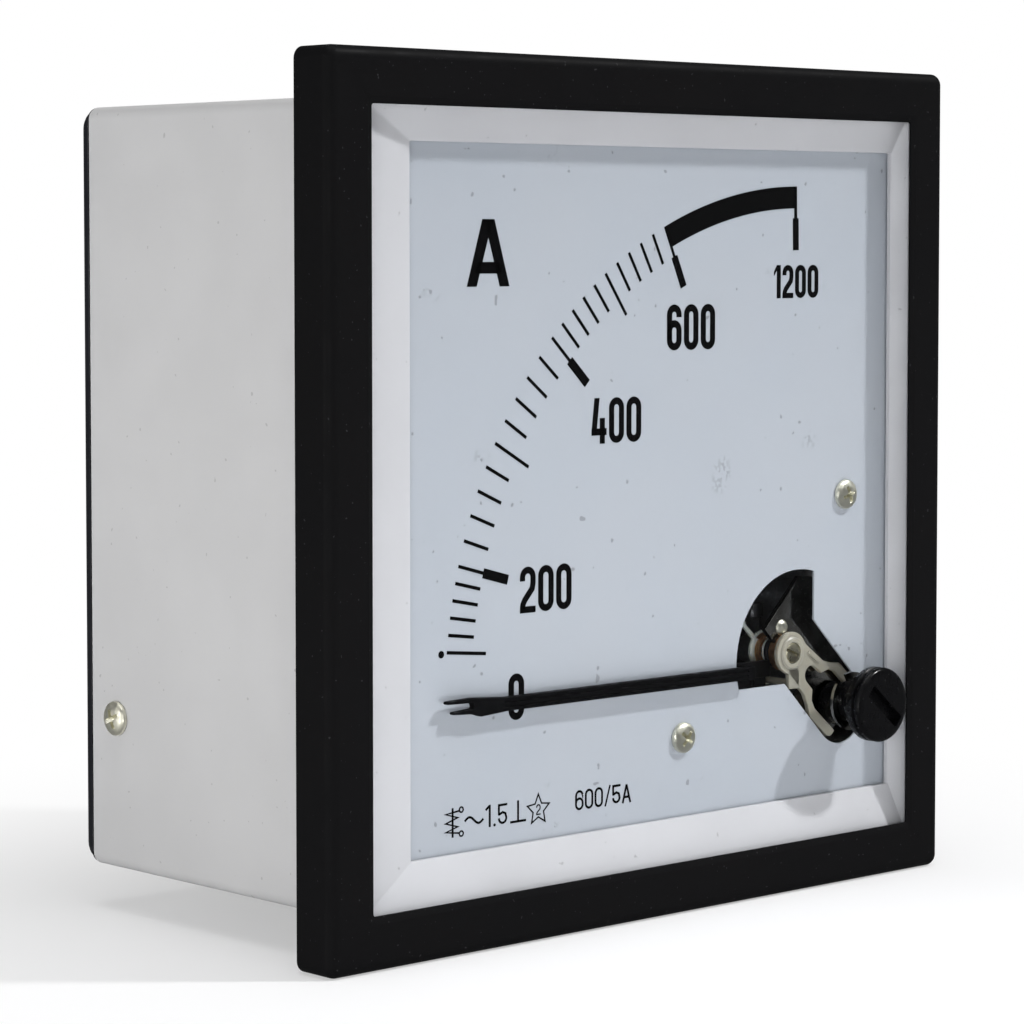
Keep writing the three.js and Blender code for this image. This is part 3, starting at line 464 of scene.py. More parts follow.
def soft_plastic(name, colour, roughness, glow=0.25):
    look = Look(name, colour, roughness)
    look.set(Subsurface_Weight=glow, Subsurface_Radius=(0.002, 0.0017, 0.0012), Subsurface_Scale=0.6)
    look.tint(look.ramp(look.noise(1.5, detail=3), 0.0, 0.35), tuple(c * 0.82 for c in colour))
    look.gloss(look.noise(0.7), roughness * 0.8, roughness * 1.25)
    look.bump(look.noise(0.4, detail=2), 0.006, 0.4)
    return look.material


def gloss_black(name, roughness, shine):
    look = Look(name, (0.0025, 0.0025, 0.003), roughness)
    look.set(Specular_IOR_Level=shine)
    look.tint(look.specks(0.3, 0.76), (0.03, 0.03, 0.03))
    look.gloss(look.noise(1.2, detail=3), roughness * 0.7, roughness * 1.4)
    look.bump(look.noise(0.4, detail=2), 0.006, 0.4)
    return look.material


def clear_pane():
    """A clear sheet: it lets everything through and mirrors a little more at grazing angles.
    The facing weight is the same on both faces, so a lamp's light passes through it."""
    look = Look("clear_pane", (1, 1, 1), 0.04)
    glass = look.node("BsdfTransparent")
    glass.inputs["Color"].default_value = (0.985, 0.99, 0.995, 1)
    mirror = look.node("BsdfGlossy")
    mirror.inputs["Color"].default_value = (1, 1, 1, 1)
    look.link(look.ramp(look.noise(20, detail=3), 0.02, 0.09), mirror.inputs["Roughness"])
    facing = look.node("LayerWeight")
    facing.inputs["Blend"].default_value = 0.012
    mix = look.node("MixShader")
    look.link(facing.outputs["Facing"], mix.inputs[0])
    look.link(glass.outputs[0], mix.inputs[1])
    look.link(mirror.outputs[0], mix.inputs[2])
    look.tree.nodes.remove(look.shader)
    look.finish(mix)
    return look.material


BLACK = moulded_black()
COVER = cover_black()
CASE_WHITE = moulded_white("moulded_white", (0.56, 0.558, 0.56), 0.3)
TRAY_WHITE = moulded_white("tray_white", (0.58, 0.575, 0.59), 0.2)
DIAL = dial_paint()
PRINT = printing_ink()
ZINC = metal("zinc_plate", (0.92, 0.90, 0.76), 0.42, 0.006)
STEEL = polished_steel()
MATT_STEEL = metal("turned_steel", (0.5, 0.5, 0.51), 0.28, 0.01)
CAST = metal("die_cast", (0.38, 0.39, 0.41), 0.55, 0.02, (1, 1, 1))
IRON = metal("soft_iron", (0.18, 0.18, 0.19), 0.45, 0.01)
BRASS = metal("brass", (0.60, 0.44, 0.17), 0.3, 0.008)
BRONZE = metal("spring_bronze", (0.80, 0.48, 0.26), 0.4, 0.004)
PALE = metal("pale_brass", (0.66, 0.62, 0.46), 0.35, 0.006)
COPPER = metal("copper", (0.58, 0.22, 0.10), 0.3, 0.006)
CREAM = soft_plastic("cream_plastic", (0.37, 0.35, 0.285), 0.4)
MILKY = soft_plastic("milky_plastic", (0.72, 0.76, 0.68), 0.35, 0.3)
POINTER_BLACK = gloss_black("pointer_black", 0.6, 0.04)
KNOB_BLACK = gloss_black("knob_black", 0.3, 0.14)
FOOT_GREY = metal("foot_grey", (0.035, 0.035, 0.04), 0.45, 0.004)
BOBBIN = soft_plastic("bobbin_plastic", (0.03, 0.026, 0.022), 0.55, 0.0)
PANE = clear_pane()

# ---- Case ----


def bezel():
    """The frame as one closed skin: outside, rounded front edge, window slope, lip and pocket."""
    edge = 1.25
    corner = 1.3
    outer = [(edge - edge * math.sin(a), FRONT + edge - edge * math.cos(a)) for a in quarter(8)]
    rings = [(0.25, 0.0, corner), (0.0, -0.25, corner)]
    rings += [(inset, y, corner - inset * 0.8) for inset, y in reversed(outer)]
    window = HALF - WINDOW_HALF
    rings += [
        (window - WINDOW_SLOPE - 0.1, FRONT, 0.5), (window - WINDOW_SLOPE, FRONT + 0.02, 0.45),
        (window - 0.06, FRONT + 0.2, 0.3), (window, FRONT + 0.26, 0.3), (window, FRONT + 0.44, 0.3),
        (window - 0.06, FRONT + 0.5, 0.3), (HALF - POCKET_HALF, FRONT + 0.5, 0.6),
        (HALF - POCKET_HALF, -0.1, 0.6), (HALF - POCKET_HALF - 0.1, 0.0, 0.6),
    ]
    return loft([ring_at(square(HALF - inset, r), y) for inset, y, r in rings])


def quarter(steps):
    return [math.pi / 2 * i / steps for i in range(steps + 1)]


def case_shell():
    """Flange, web and walls as one closed skin, open at the front and back."""
    inner = CASE_HALF - CASE_WALL
    flange = CASE_HIGH.x
    back = CASE_HIGH.y
    rings = [
        (flange - 0.8, CASE_LOW.y, 0.5), (flange - 0.1, CASE_LOW.y, 0.6),
        (flange, CASE_LOW.y + 0.1, 0.6), (flange, -0.1, 0.6), (flange - 0.1, 0.0, 0.6),
        (CASE_HALF + 0.5, 0.0, 1.6), (CASE_HALF + 0.15, 0.15, 1.5), (CASE_HALF, 0.5, 1.4),
        (CASE_HALF, back - 0.15, 1.4), (CASE_HALF - 0.15, back, 1.3), (inner, back, 0.8),
        (inner, -0.9, 0.8), (flange - 0.8, -0.9, 0.5),
    ]
    return loft([ring_at(square(half, r), y) for half, y, r in rings])


def case_body():
    """The shell with the two lugs that carry the movement's chassis."""
    lugs = [
        ((CHASSIS_HIGH.x - 5.8, CHASSIS_HIGH.z - 5.6), 1),
        ((CHASSIS_LOW.x + 1.2, CHASSIS_LOW.z + 0.4), -1),
    ]
    parts = [case_shell()]
    wall = CASE_HALF - CASE_WALL
    for (x, z), side in lugs:
        front = CHASSIS_HIGH.y + 0.3
        ends = sorted((x if side > 0 else x + 5.9, side * wall))
        parts.append(soften(box((ends[0], front, z), (ends[1], front + 8, z + 5.9)), 0.3))
    return join(*parts)


def cover_body():
    """The back cover with a skirt, rounded back edges, a boss round each stud and a barrier between them."""
    skirt = CASE_HALF - CASE_WALL - 0.2
    inner = skirt - 1.8
    front = CASE_HIGH.y + 0.1
    rings = [
        (inner, front, 0.6), (inner, COVER_LOW.y, 0.6), (skirt - 0.3, COVER_LOW.y, 0.9),
        (skirt, COVER_LOW.y + 0.4, 1.0), (skirt, front, 1.0), (CASE_HALF - 0.1, front, 1.5),
        (CASE_HALF, front + 0.1, 1.6),
    ]
    for a in quarter(8):
        inset = COVER_ROUND * (1 - math.cos(a))
        depth = COVER_PANEL - COVER_ROUND + COVER_ROUND * math.sin(a)
        rings.append((CASE_HALF - inset, depth, 2.2 - inset * 0.5))
    rings.append((38.0, COVER_PANEL, 1.0))
    parts = [loft([ring_at(square(half, r), y) for half, y, r in rings], closed=False)]
    boss = WASHER_LOW.y - 0.3
    for stud in STUDS:
        profile = [
            (3.0, COVER_PANEL - 0.5), (8.3, COVER_PANEL - 0.5), (8.1, COVER_PANEL),
            (7.6, COVER_PANEL + 0.25), (7.5, COVER_PANEL + 0.6), (7.5, boss - 0.35),
            (7.4, boss - 0.1), (7.15, boss), (3.2, boss), (3.0, boss - 0.2),
        ]
        parts.append(lathe(profile, stud.x, stud.z, 72))
    sunk = COVER_PANEL - 0.5
    wall = box((-BARRIER_HALF, sunk, -BARRIER_REACH), (BARRIER_HALF, COVER_HIGH.y, BARRIER_REACH))
    parts.append(soften(wall, 0.45, segments=3))
    for z in (-BARRIER_REACH, BARRIER_REACH):
        rib = box((-BARRIER_HALF, sunk, z - 3.5), (BARRIER_HALF, COVER_PANEL + 1.2, z + 3.5))
        parts.append(soften(rib, 0.4))
    return join(*parts)


def surround():
    """The white tray: four slopes from the rim down to the lip round the dial."""
    lip_depth = FRONT + LIP_DEPTH

    def lip(grow, y, radius=0.25):
        low, high = LIP["left"] - grow, LIP["right"] + grow
        return ring_at(rounded_rect(low, LIP["bottom"] - grow, high, LIP["top"] + grow, radius), y)

    rings = [
        ring_at(square(SURROUND_HIGH.x, 0.6), SURROUND_LOW.y),
        ring_at(square(RIM_HALF + 0.15, 0.3), SURROUND_LOW.y),
        ring_at(square(RIM_HALF, 0.25), SURROUND_LOW.y + 0.04),
        lip(0.14, lip_depth - 0.03),
        lip(0.03, lip_depth + 0.03),
        lip(0.0, lip_depth + 0.15),
        lip(0.0, SURROUND_HIGH.y),
        ring_at(square(SURROUND_HIGH.x, 0.6), SURROUND_HIGH.y),
    ]
    return loft(rings)


def cross_tools(head, reach, width, depth, turn):
    """Two crossed tapering blades that cut a screw's recess, about the origin with the head towards -Y."""
    tools = []
    for a in (turn, turn + math.pi / 2):
        top = ((-reach, -width), (reach, -width), (reach, width), (-reach, width))
        low = ((-reach * 0.45, -width * 0.6), (reach * 0.45, -width * 0.6))
        low += ((reach * 0.45, width * 0.6), (-reach * 0.45, width * 0.6))
        levels = ((top, -head - 0.2), (top, -head + 0.12), (low, -head + depth))
        tools.append(loft([ring_at(turned_by(shape, a), y) for shape, y in levels], closed=False))
    return tools


def dome_screw(radius, head, shank, length, turn):
    """A dome-headed screw about the origin with a cross recess: the head is towards -Y."""
    rim = 0.28
    profile = [(0.0, -head)]
    for i in range(1, 13):
        a = math.pi / 2 * i / 12
        profile.append((radius * math.sin(a), -rim - (head - rim) * math.cos(a)))
    profile += [(radius, -0.06), (radius - 0.06, 0.0), (shank, 0.0)]
    ridges = int(length / 0.5)
    for i in range(ridges):
        profile += [(shank, 0.3 + i * 0.4), (shank - 0.18, 0.5 + i * 0.4)]
    profile += [(0.3, 0.6 + ridges * 0.4), (0.0, 0.6 + ridges * 0.4)]
    recess = cross_tools(head, radius * 0.60, radius * 0.13, head * 0.85, turn)
    mouth = -head - 0.2
    well = lathe([(0.0, mouth), (radius * 0.2, mouth), (radius * 0.12, -0.25), (0.0, -0.2)])
    return carve(to_mesh_object("screw", lathe(profile, steps=48)), *recess, well)


def place(obj, x, y, z, turn_z=0.0):
    obj.data.transform(Matrix.Translation((x * MM, y * MM, z * MM)) @ Matrix.Rotation(turn_z, 4, "Z"))
    return obj


def pan_head(name, node, turn):
    """A slotted pan-headed screw in the place of a CAD screw whose head is towards -Y."""
    low, high, middle = extent(node)
    radius = (high.x - low.x) / 2
    head = low.y + 0.85
    profile = [(0.0, low.y), (radius - 0.5, low.y), (radius - 0.2, low.y + 0.08)]
    profile += [(radius - 0.03, low.y + 0.3), (radius, low.y + 0.45)]
    profile += [(radius, head - 0.05), (radius - 0.05, head), (1.05, head)]
    profile += [(1.05, high.y - 0.3), (0.8, high.y), (0.0, high.y)]
    slot = slot_tool(radius + 1, low.y - 1, low.y + 0.4, 0.25, turn, middle.x, middle.z)
    made = carve(to_mesh_object(name, lathe(profile, middle.x, middle.z)), slot)
    piece(name, made, "case", STEEL, [node])


# ---- Dial and its print ----


def dial():
    """The dial plate with its holes and the window over the movement."""
    half = CHANNEL_HALF * DIAGONAL
    start = 180 + math.degrees(math.asin(-CUT_FLOOR / CUT_R))
    end = math.degrees(math.acos(CUT_RIGHT / CUT_R))
    middle = CHANNEL_X + CHANNEL_Z
    outline = arc(CUT_X, CUT_Z, CUT_R, start, end, 48)
    outline.append((CUT_X + CUT_RIGHT, CUT_Z + middle + 2 * half - CUT_RIGHT))
    outline += arc(CUT_X + CHANNEL_X, CUT_Z + CHANNEL_Z, CHANNEL_HALF, 45, -135, 32)
    outline.append((CUT_X + middle - 2 * half - CUT_FLOOR, CUT_Z + CUT_FLOOR))
    holes = [outline] + [circle(p.x, p.z, 1.3, 32) for p in DIAL_SCREWS]
    sheet = square(DIAL_HIGH.x, 0.6)
    return plate(sheet, holes, DIAL_LOW.y, DIAL_LOW.y + DIAL_SHEET, bevel=0.05)


class Print:
    """Ink on the dial: strokes and filled shapes a few hundredths of a millimetre thick."""

    def __init__(self):
        self.bm = bmesh.new()
        self.front = DIAL_LOW.y - INK
        self.back = DIAL_LOW.y + INK / 2

    def block(self, points):
        """A filled convex shape."""
        add_skin(self.bm, [ring_at(points, self.front), ring_at(points, self.back)], closed=False)

    def bar(self, left, bottom, right, top):
        self.block([(left, bottom), (right, bottom), (right, top), (left, top)])

    def stroke(self, points, width, closed=False):
        """A line of one width with mitred corners."""
        count = len(points)
        sides = []
        for i in range(count):
            before = points[i - 1] if closed or i > 0 else None
            after = points[(i + 1) % count] if closed or i < count - 1 else None
            here = Vector(points[i])
            legs = [(here - Vector(before)).normalized()] if before else []
            legs += [(Vector(after) - here).normalized()] if after else []
            along = sum(legs, Vector((0, 0))).normalized()
            across = Vector((-along.y, along.x))
            reach = width / 2 / max(MITRE, along.dot(legs[0]))
            sides.append((here + across * reach, here - across * reach))
        rows = []
        for left, right in sides:
            corners = ((left, self.front), (right, self.front), (right, self.back), (left, self.back))
            rows.append([(p.x, y, p.y) for p, y in corners])
        add_skin(self.bm, rows, closed)

    def dot(self, x, z, radius):
        self.block(circle(x, z, radius, 24))

    def text(self, words, left, bottom, right, top, width):
        """Condensed characters that fill a box, with a stroke width."""
        shares = [GLYPH_WIDTH.get(c, 1.0) for c in words]
        gap = 0.17
        unit = (right - left) / (sum(shares) + gap * (len(words) - 1))
        x = left
        for c, share in zip(words, shares):
            glyph(self, c, x, bottom, unit * share, top - bottom, width)
            x += unit * (share + gap)


GLYPH_WIDTH = {"1": 0.62, "/": 0.8, "A": 1.15}


def glyph(ink, c, x, z, w, h, t):
    """One character with its lower left corner at x, z."""
    r = (w - t) / 2
    left, right, low, high = x + t / 2, x + w - t / 2, z + t / 2, z + h - t / 2
    mid = x + w / 2
    if c == "0":
        loop = arc(mid, high - r, r, 0, 180, 14) + arc(mid, low + r, r, 180, 360, 14)
        ink.stroke(loop, t, closed=True)
    elif c == "1":
        ink.bar(x + w - t, z, x + w, z + h)
        inner, tail = x + w - t, z + h * 0.8
        ink.block([(x, tail - t * 0.75), (inner, z + h - t * 0.95), (inner, z + h), (x, tail)])
    elif c == "2":
        top = arc(mid, high - r, r, 180, 0, 14)
        bend = [(right, z + h * 0.64), (right - r * 0.16, z + h * 0.52), (left + r * 0.42, z + h * 0.28)]
        foot = [(left + r * 0.06, z + h * 0.18), (left, low)]
        ink.stroke([(left, z + h * 0.69)] + top + bend + foot, t)
        ink.bar(x, z, x + w, z + t * 0.95)
    elif c == "4":
        stem, bar, peak = x + w * 0.55, z + h * 0.26, x + w * 0.53
        ink.bar(stem, z, stem + t, z + h * 0.56)
        ink.bar(x, bar - t / 2, x + w, bar + t / 2)
        ink.block([(x, bar), (x + t, bar), (peak, z + h), (peak - t, z + h)])
    elif c == "5":
        bowl = low + h * 0.3
        ink.bar(x, z + h - t, x + w, z + h)
        ink.stroke([(left, high), (left, z + h * 0.47)], t)
        curve = [(left, z + h * 0.50), (mid, z + h * 0.60), (right - r * 0.25, z + h * 0.53)]
        ink.stroke(curve + arc(mid, bowl - h * 0.02, r, 0, -180, 14), t)
    elif c == "6":
        bowl = arc(mid, z + h * 0.58 - r, r, 0, 180, 14) + arc(mid, low + r, r, 180, 360, 14)
        ink.stroke(bowl, t, closed=True)
        ink.stroke([(left, low + r)] + arc(mid, high - r, r, 180, 0, 14) + [(right, z + h * 0.72)], t)
    elif c == "/":
        ink.stroke([(x + t / 2, z - h * 0.02), (x + w - t / 2, z + h * 1.02)], t * 0.8)
    elif c == "A":
        ink.stroke([(x + t / 2, z), (mid, z + h - t * 0.6)], t)
        ink.stroke([(x + w - t / 2, z), (mid, z + h - t * 0.6)], t)
        ink.stroke([(x + w * 0.2, z + h * 0.3), (x + w * 0.8, z + h * 0.3)], t)


def scale_angle(value):
    """The angle above -X of a reading: straight runs between the figures."""
    for (v0, a0), (v1, a1) in zip(SCALE_MARKS, SCALE_MARKS[1:]):
        if value <= v1:
            return a0 + (a1 - a0) * (value - v0) / (v1 - v0)
    return SCALE_MARKS[-1][1]


def scale_point(radius, angle):
    a = math.radians(angle)
    return SCALE_X - radius * math.cos(a), SCALE_Z + radius * math.sin(a)


def scale_marks(ink):
    values = list(range(0, 200, 40)) + list(range(200, 601, 20)) + [1200]
    for value in values:
        angle = scale_angle(value)
        figure = value in (200, 400, 600, 1200)
        inner = LONG_TICK if value in (0, 300, 500) else SHORT_TICK
        thin = TICK_WIDTH if value < 1200 else TICK_WIDTH * 1.3
        ink.stroke([scale_point(SCALE_R, angle), scale_point(inner, angle)], thin)
        if figure:
            width = THICK_TICK if value < 600 else THICK_TICK * 0.9
            ink.stroke([scale_point(SHORT_TICK, angle), scale_point(THICK_INNER, angle)], width)
    start, end = scale_angle(600), scale_angle(1200)
    radius = (SCALE_R + BAND_INNER) / 2
    steps = 40
    sweep = [scale_point(radius, start + (end - start) * i / steps) for i in range(steps + 1)]
    ink.stroke(sweep, SCALE_R - BAND_INNER)
    ink.dot(-29.4, -16.1, 0.4)


def unit_letter(ink):
    """The heavy A of the unit."""
    foot, top, base = 1.42, 30.35, 23.1
    left, right, apex_l, apex_r = -25.7, -19.5, -23.45, -21.7
    ink.block([(left, base), (left + foot, base), (-21.95, top), (apex_l, top)])
    ink.block([(right - foot, base), (right, base), (apex_r, top), (-23.2, top)])
    ink.block([(-24.6, 24.5), (-20.6, 24.5), (-20.9, 25.75), (-24.2, 25.75)])


def symbol_row(ink):
    """Generic instrument symbols: moving iron, alternating current, class, upright mounting, test voltage."""
    t = 0.26
    ink.stroke([(-27.8, -32.8), (-27.8, -36.0)], t)
    for z in (-33.1, -35.7):
        ink.stroke(circle(-26.55, z, 0.28, 16), t * 0.7, closed=True)
    spring = [(-26.9, -33.2)]
    for i in range(3):
        spring += [(-28.8, -33.4 - i * 1.0), (-27.06, -33.9 - i * 1.0)] if i < 2 else [(-28.8, -35.35)]
    ink.stroke(spring + [(-26.9, -35.6)], t * 0.8)
    wave = [(-26.05 + 2.7 * i / 16, -34.45 + 0.38 * math.sin(math.tau * i / 16)) for i in range(17)]
    ink.stroke(wave, t)
    ink.bar(-22.55, -35.48, -22.27, -33.05)
    ink.stroke([(-22.5, -33.2), (-23.0, -33.58)], t)
    ink.dot(-21.71, -35.34, 0.17)
    glyph(ink, "5", -21.2, -35.48, 1.36, 2.35, t)
    ink.stroke([(-19.4, -35.34), (-17.05, -35.34)], t)
    ink.stroke([(-18.23, -35.34), (-18.23, -33.04)], t)
    star = []
    for i in range(10):
        a = math.pi / 2 + math.pi * i / 5
        reach = 1.72 if i % 2 == 0 else 0.82
        star.append((-15.2 + reach * math.cos(a), -34.4 + reach * math.sin(a)))
    ink.stroke(star, 0.17, closed=True)
    glyph(ink, "2", -15.52, -35.0, 0.66, 1.2, 0.15)
    ink.text("600/5A", -9.6, -35.2, -0.86, -32.95, 0.27)


def dial_print():
    ink = Print()
    scale_marks(ink)
    unit_letter(ink)
    ink.text("0", -19.65, -24.17, -17.34, -19.07, 0.80)
    ink.text("200", -17.95, -12.56, -10.2, -7.49, 0.76)
    ink.text("400", -7.15, 5.49, 0.6, 10.59, 0.78)
    ink.text("600", 4.68, 15.61, 12.5, 20.81, 0.82)
    ink.text("1200", 22.35, 21.3, 30.0, 25.18, 0.66)
    symbol_row(ink)
    return ink.bm


# ---- Movement seen through the window ----


def along(t, s):
    """A point about the pivot: t towards the knob, s square to it, up to the right."""
    c, d = math.cos(CAM_TURN), math.sin(CAM_TURN)
    return PIVOT.x + t * c - s * d, PIVOT.z + t * d + s * c


def pointer():
    low, high = span("pointer")
    bar_low, bar_high = PIVOT.z - 2.1, PIVOT.z - 0.6
    middle = (bar_low + bar_high) / 2
    tip = low.x
    root = high.x - 0.05
    prong = tip + 3.6
    head = prong + 5
    outline = [
        (root, bar_high), (head, bar_high), (prong, bar_high + 0.35), (tip + 0.1, bar_high + 0.25),
        (tip, bar_high + 0.1), (tip + 0.05, bar_high - 0.05), (prong, bar_high - 0.15),
        (prong + 0.2, middle + 0.1), (prong, middle - 0.05), (tip + 0.95, middle - 0.22),
        (tip + 0.9, middle - 0.35), (tip + 0.95, middle - 0.48), (prong, middle - 0.6),
        (prong + 1.2, bar_low - 0.25), (head, bar_low), (root, bar_low),
    ]
    blade = to_mesh_object("pointer", plate(outline, [], low.y, low.y + 0.9, bevel=0.1, steps=3))
    ribs = []
    for share in (0.32, 0.68):
        z = bar_low + share * (bar_high - bar_low)
        ribs.append(box((head - 0.5, low.y - 1, z - 0.09), (root - 1.0, low.y + 0.22, z + 0.09)))
    blade = carve(blade, *ribs)
    crank = soften(box((root - 0.65, low.y + 0.15, bar_low), (root, high.y, bar_high)), 0.08)
    return merged(blade, to_mesh_object("crank", crank))


def merged(*objects):
    """One object with the meshes of several."""
    bm = bmesh.new()
    for obj in objects:
        bm.from_mesh(obj.data)
        bpy.data.objects.remove(obj)
    return finished("merged", bm)


def pointer_foot():
    low, high = span("pointer_foot")
    x0, top = low.x, PIVOT.z - 0.9
    arm = soften(box((x0, low.y, PIVOT.z - 2.9), (PIVOT.x - 1.2, high.y, top)), 0.12)
    edge = rounded_rect(x0, low.z, PIVOT.x - 1.7, PIVOT.z - 2.7, 0.3)
    hole = circle(PIVOT.x - 3.9, PIVOT.z - 3.5, 0.35, 24)
    flange = plate(edge, [hole], high.y - 0.3, high.y, bevel=0.05)
    hub = [(0.6, low.y), (1.75, low.y), (1.9, low.y + 0.12)]
    hub += [(1.9, high.y - 0.12), (1.75, high.y), (0.6, high.y)]
    return join(arm, flange, lathe(hub, PIVOT.x, PIVOT.z))


def spring():
    """The hairspring as a thin upright ribbon wound about the spindle."""
    low, high = span("hairspring")
    turns, inner, outer, thick = 2.5, 1.15, 2.12, 0.11
    steps = 160
    rows = []
    for i in range(steps + 1):
        a = SPRING_END + (i / steps - 1) * turns * math.tau
        r = inner + (outer - inner) * i / steps
        corners = ((r, low.y), (r + thick, low.y), (r + thick, high.y), (r, high.y))
        c, d = math.cos(a), math.sin(a)
        rows.append([(PIVOT.x + reach * c, y, PIVOT.z + reach * d) for reach, y in corners])
    return loft(rows, closed=False)


def spring_anchor():
    low, high = span("spring_anchor")
    y0, y1 = low.y + 0.1, high.y
    ring = [(0.9, y0), (2.2, y0), (2.4, y0 + 0.15), (2.4, y1 - 0.1), (2.3, y1), (0.9, y1)]
    length = 5.0
    reach = [(1.5, -0.3), (length, -0.22), (length, 0.22), (1.5, 0.3)]
    arm = plate(turned_by(reach, SPRING_END, PIVOT.x, PIVOT.z), [], y0 + 0.05, y1 - 0.05, bevel=0.06)
    bead_x, bead_z = turned_by([(length, 0)], SPRING_END, PIVOT.x, PIVOT.z)[0]
    dome = [(0.0, low.y), (0.3, low.y + 0.04), (0.5, low.y + 0.3), (0.45, y1 - 0.05), (0.0, y1)]
    bead = lathe(dome, bead_x, bead_z, 24)
    eye = rounded_rect(PIVOT.x - 0.2, PIVOT.z - 4.2, PIVOT.x + 1.0, PIVOT.z - 1.3, 0.4)
    tab = plate(eye, [circle(PIVOT.x + 0.4, PIVOT.z - 3.6, 0.45, 20)], y0, y1, bevel=0.06)
    return join(lathe(ring, PIVOT.x, PIVOT.z), arm, bead, tab)


def zero_lever():
    """The cream fork that carries the spring's anchor and is swung by the knob's cam."""
    low, _ = span("zero_lever")
    front, back = low.y, low.y + 0.6
    cam = 2.7
    upper = [(1.4, 2.25), (5.0, 2.5), (6.3, 3.1), (7.6, 4.0), (11.4, 4.0), (11.95, 3.75)]
    upper += [(12.2, 3.3), (12.2, cam), (7.6, cam), (6.6, 2.3), (5.8, 1.2), (4.5, 1.1)]
    outline = upper + arc(4.5, 0, 1.1, 105, 255, 10) + [(t, -s) for t, s in reversed(upper)]
    outline += arc(0, 0, 2.5, 290, 70, 22)
    bore = circle(PIVOT.x, PIVOT.z, 1.28, 40)
    fork = plate([along(t, s) for t, s in outline], [bore], front, back, bevel=0.1, steps=3)
    rail = [along(t, s) for t, s in ((2.2, 1.55), (4.6, 1.75), (4.6, 2.15), (2.2, 1.95))]
    raised = plate(rail, [], front - 0.2, front + 0.2, bevel=0.08)
    collar = [(1.28, front - 0.25), (1.75, front - 0.25), (1.95, front - 0.1)]
    collar += [(1.95, front + 0.2), (1.28, front + 0.2)]
    tab = soften(box((PIVOT.x - 0.5, front, PIVOT.z - 4.3), (PIVOT.x + 1.3, back, PIVOT.z - 1.9)), 0.1)
    pin = [(0.0, front + 0.1), (0.4, front + 0.1), (0.4, 3.9), (0.3, 4.0), (0.0, 4.0)]
    pin = lathe(pin, PIVOT.x + 0.4, PIVOT.z - 3.6, 20)
    return join(fork, raised, lathe(collar, PIVOT.x, PIVOT.z), tab, pin)


def jewel_screw():
    low, high = span("front_jewel_screw")
    y0, y1 = low.y, high.y
    cup = y1 - 0.6
    profile = [(0.0, y0 + 0.02), (0.85, y0), (1.1, y0 + 0.06), (1.2, y0 + 0.2)]
    for i in range(5):
        profile += [(1.2, y0 + 0.35 + i * 0.3), (1.1, y0 + 0.5 + i * 0.3)]
    profile += [(1.15, y1 - 0.05), (1.1, y1), (0.8, y1), (0.0, cup)]
    slot = slot_tool(2, y0 - 1, y0 + 0.5, 0.2, math.radians(24), PIVOT.x, PIVOT.z)
    return carve(to_mesh_object("jewel", lathe(profile, PIVOT.x, PIVOT.z)), slot)


def knob():
    """The zero adjuster: a ringed button with a screwdriver slot, a collar and a shank through the window."""
    face = KNOB_LOW.y
    r = 4.4
    pane = PANE_LOW.y
    profile = [
        (0.0, face + 0.03), (r - 0.9, face), (r - 0.55, face + 0.02), (r - 0.28, face + 0.1),
        (r - 0.08, face + 0.28), (r, face + 0.5), (r, face + 0.78), (r - 0.1, face + 0.88),
        (r - 0.3, face + 0.95), (r - 0.3, face + 1.15), (r - 0.1, face + 1.22), (r, face + 1.32),
        (r, face + 1.95), (r - 0.12, face + 2.15), (r - 0.5, face + 2.3), (3.15, face + 2.4),
        (3.1, face + 2.5), (3.1, pane - 0.15), (3.05, pane - 0.1), (2.5, pane - 0.1),
        (2.5, PANE_HIGH.y + 0.85), (1.2, PANE_HIGH.y + 0.85), (1.2, KNOB_HIGH.y),
        (0.0, KNOB_HIGH.y),
    ]
    body = to_mesh_object("knob", lathe(profile, KNOB.x, KNOB.z, 96))
    ends = rounded_rect(-2.9, -0.8, 3.5, 0.8, 0.2)
    slot = plate(turned_by(ends, CAM_TURN, KNOB.x, KNOB.z), [], face - 1, face + 1.0, bevel=0.02, steps=1)
    return carve(body, slot)


def cam():
    low, high, middle = extent("adjuster_cam")
    profile = [(0.0, low.y), (2.4, low.y), (2.55, low.y + 0.06), (2.6, low.y + 0.2)]
    profile += [(2.6, high.y - 0.15), (2.45, high.y), (0.0, high.y)]
    bore = [(0.0, low.y - 1), (1.25, low.y - 1), (1.25, high.y + 1), (0.0, high.y + 1)]
    body = to_mesh_object("cam", lathe(profile, middle.x, middle.z, 72))
    return carve(body, lathe(bore, KNOB.x, KNOB.z, 40))


def bridge():
    """The polished bracket that holds the front jewel."""
    low, high = span("front_bridge")

    def slant(t, s):
        return PIVOT.x + (t + s) * DIAGONAL, PIVOT.z + (s - t) * DIAGONAL

    outline = [slant(*p) for p in ((-4.6, -0.4), (1.4, -0.4), (3, -1.2), (5.2, -1.2), (5.2, -6))]
    outline += [(PIVOT.x + x, PIVOT.z + z) for x, z in ((2.4, -15.2), (12.6, -15.2), (12.6, 7.9))]
    outline.append(slant(-4.6, 8))
    fixings = [circle(PIVOT.x + 10.2, PIVOT.z + z, 1.3, 28) for z in (-13, 5.5)]
    sheet = plate(outline, fixings, low.y, high.y, bevel=0.14, steps=3)
    bush = [(1.28, low.y - 0.38), (2.0, low.y - 0.38), (2.15, low.y - 0.28)]
    bush += [(2.2, high.y - 0.1), (1.28, high.y)]
    rivet = [(0.0, low.y - 0.45), (0.45, low.y - 0.42), (0.75, low.y - 0.3)]
    rivet += [(0.95, low.y - 0.05), (0.95, low.y + 0.2), (0.0, low.y + 0.2)]
    return sheet, lathe(bush, PIVOT.x, PIVOT.z), lathe(rivet, *slant(-2.6, 1.6), 32)


# ---- Terminals ----


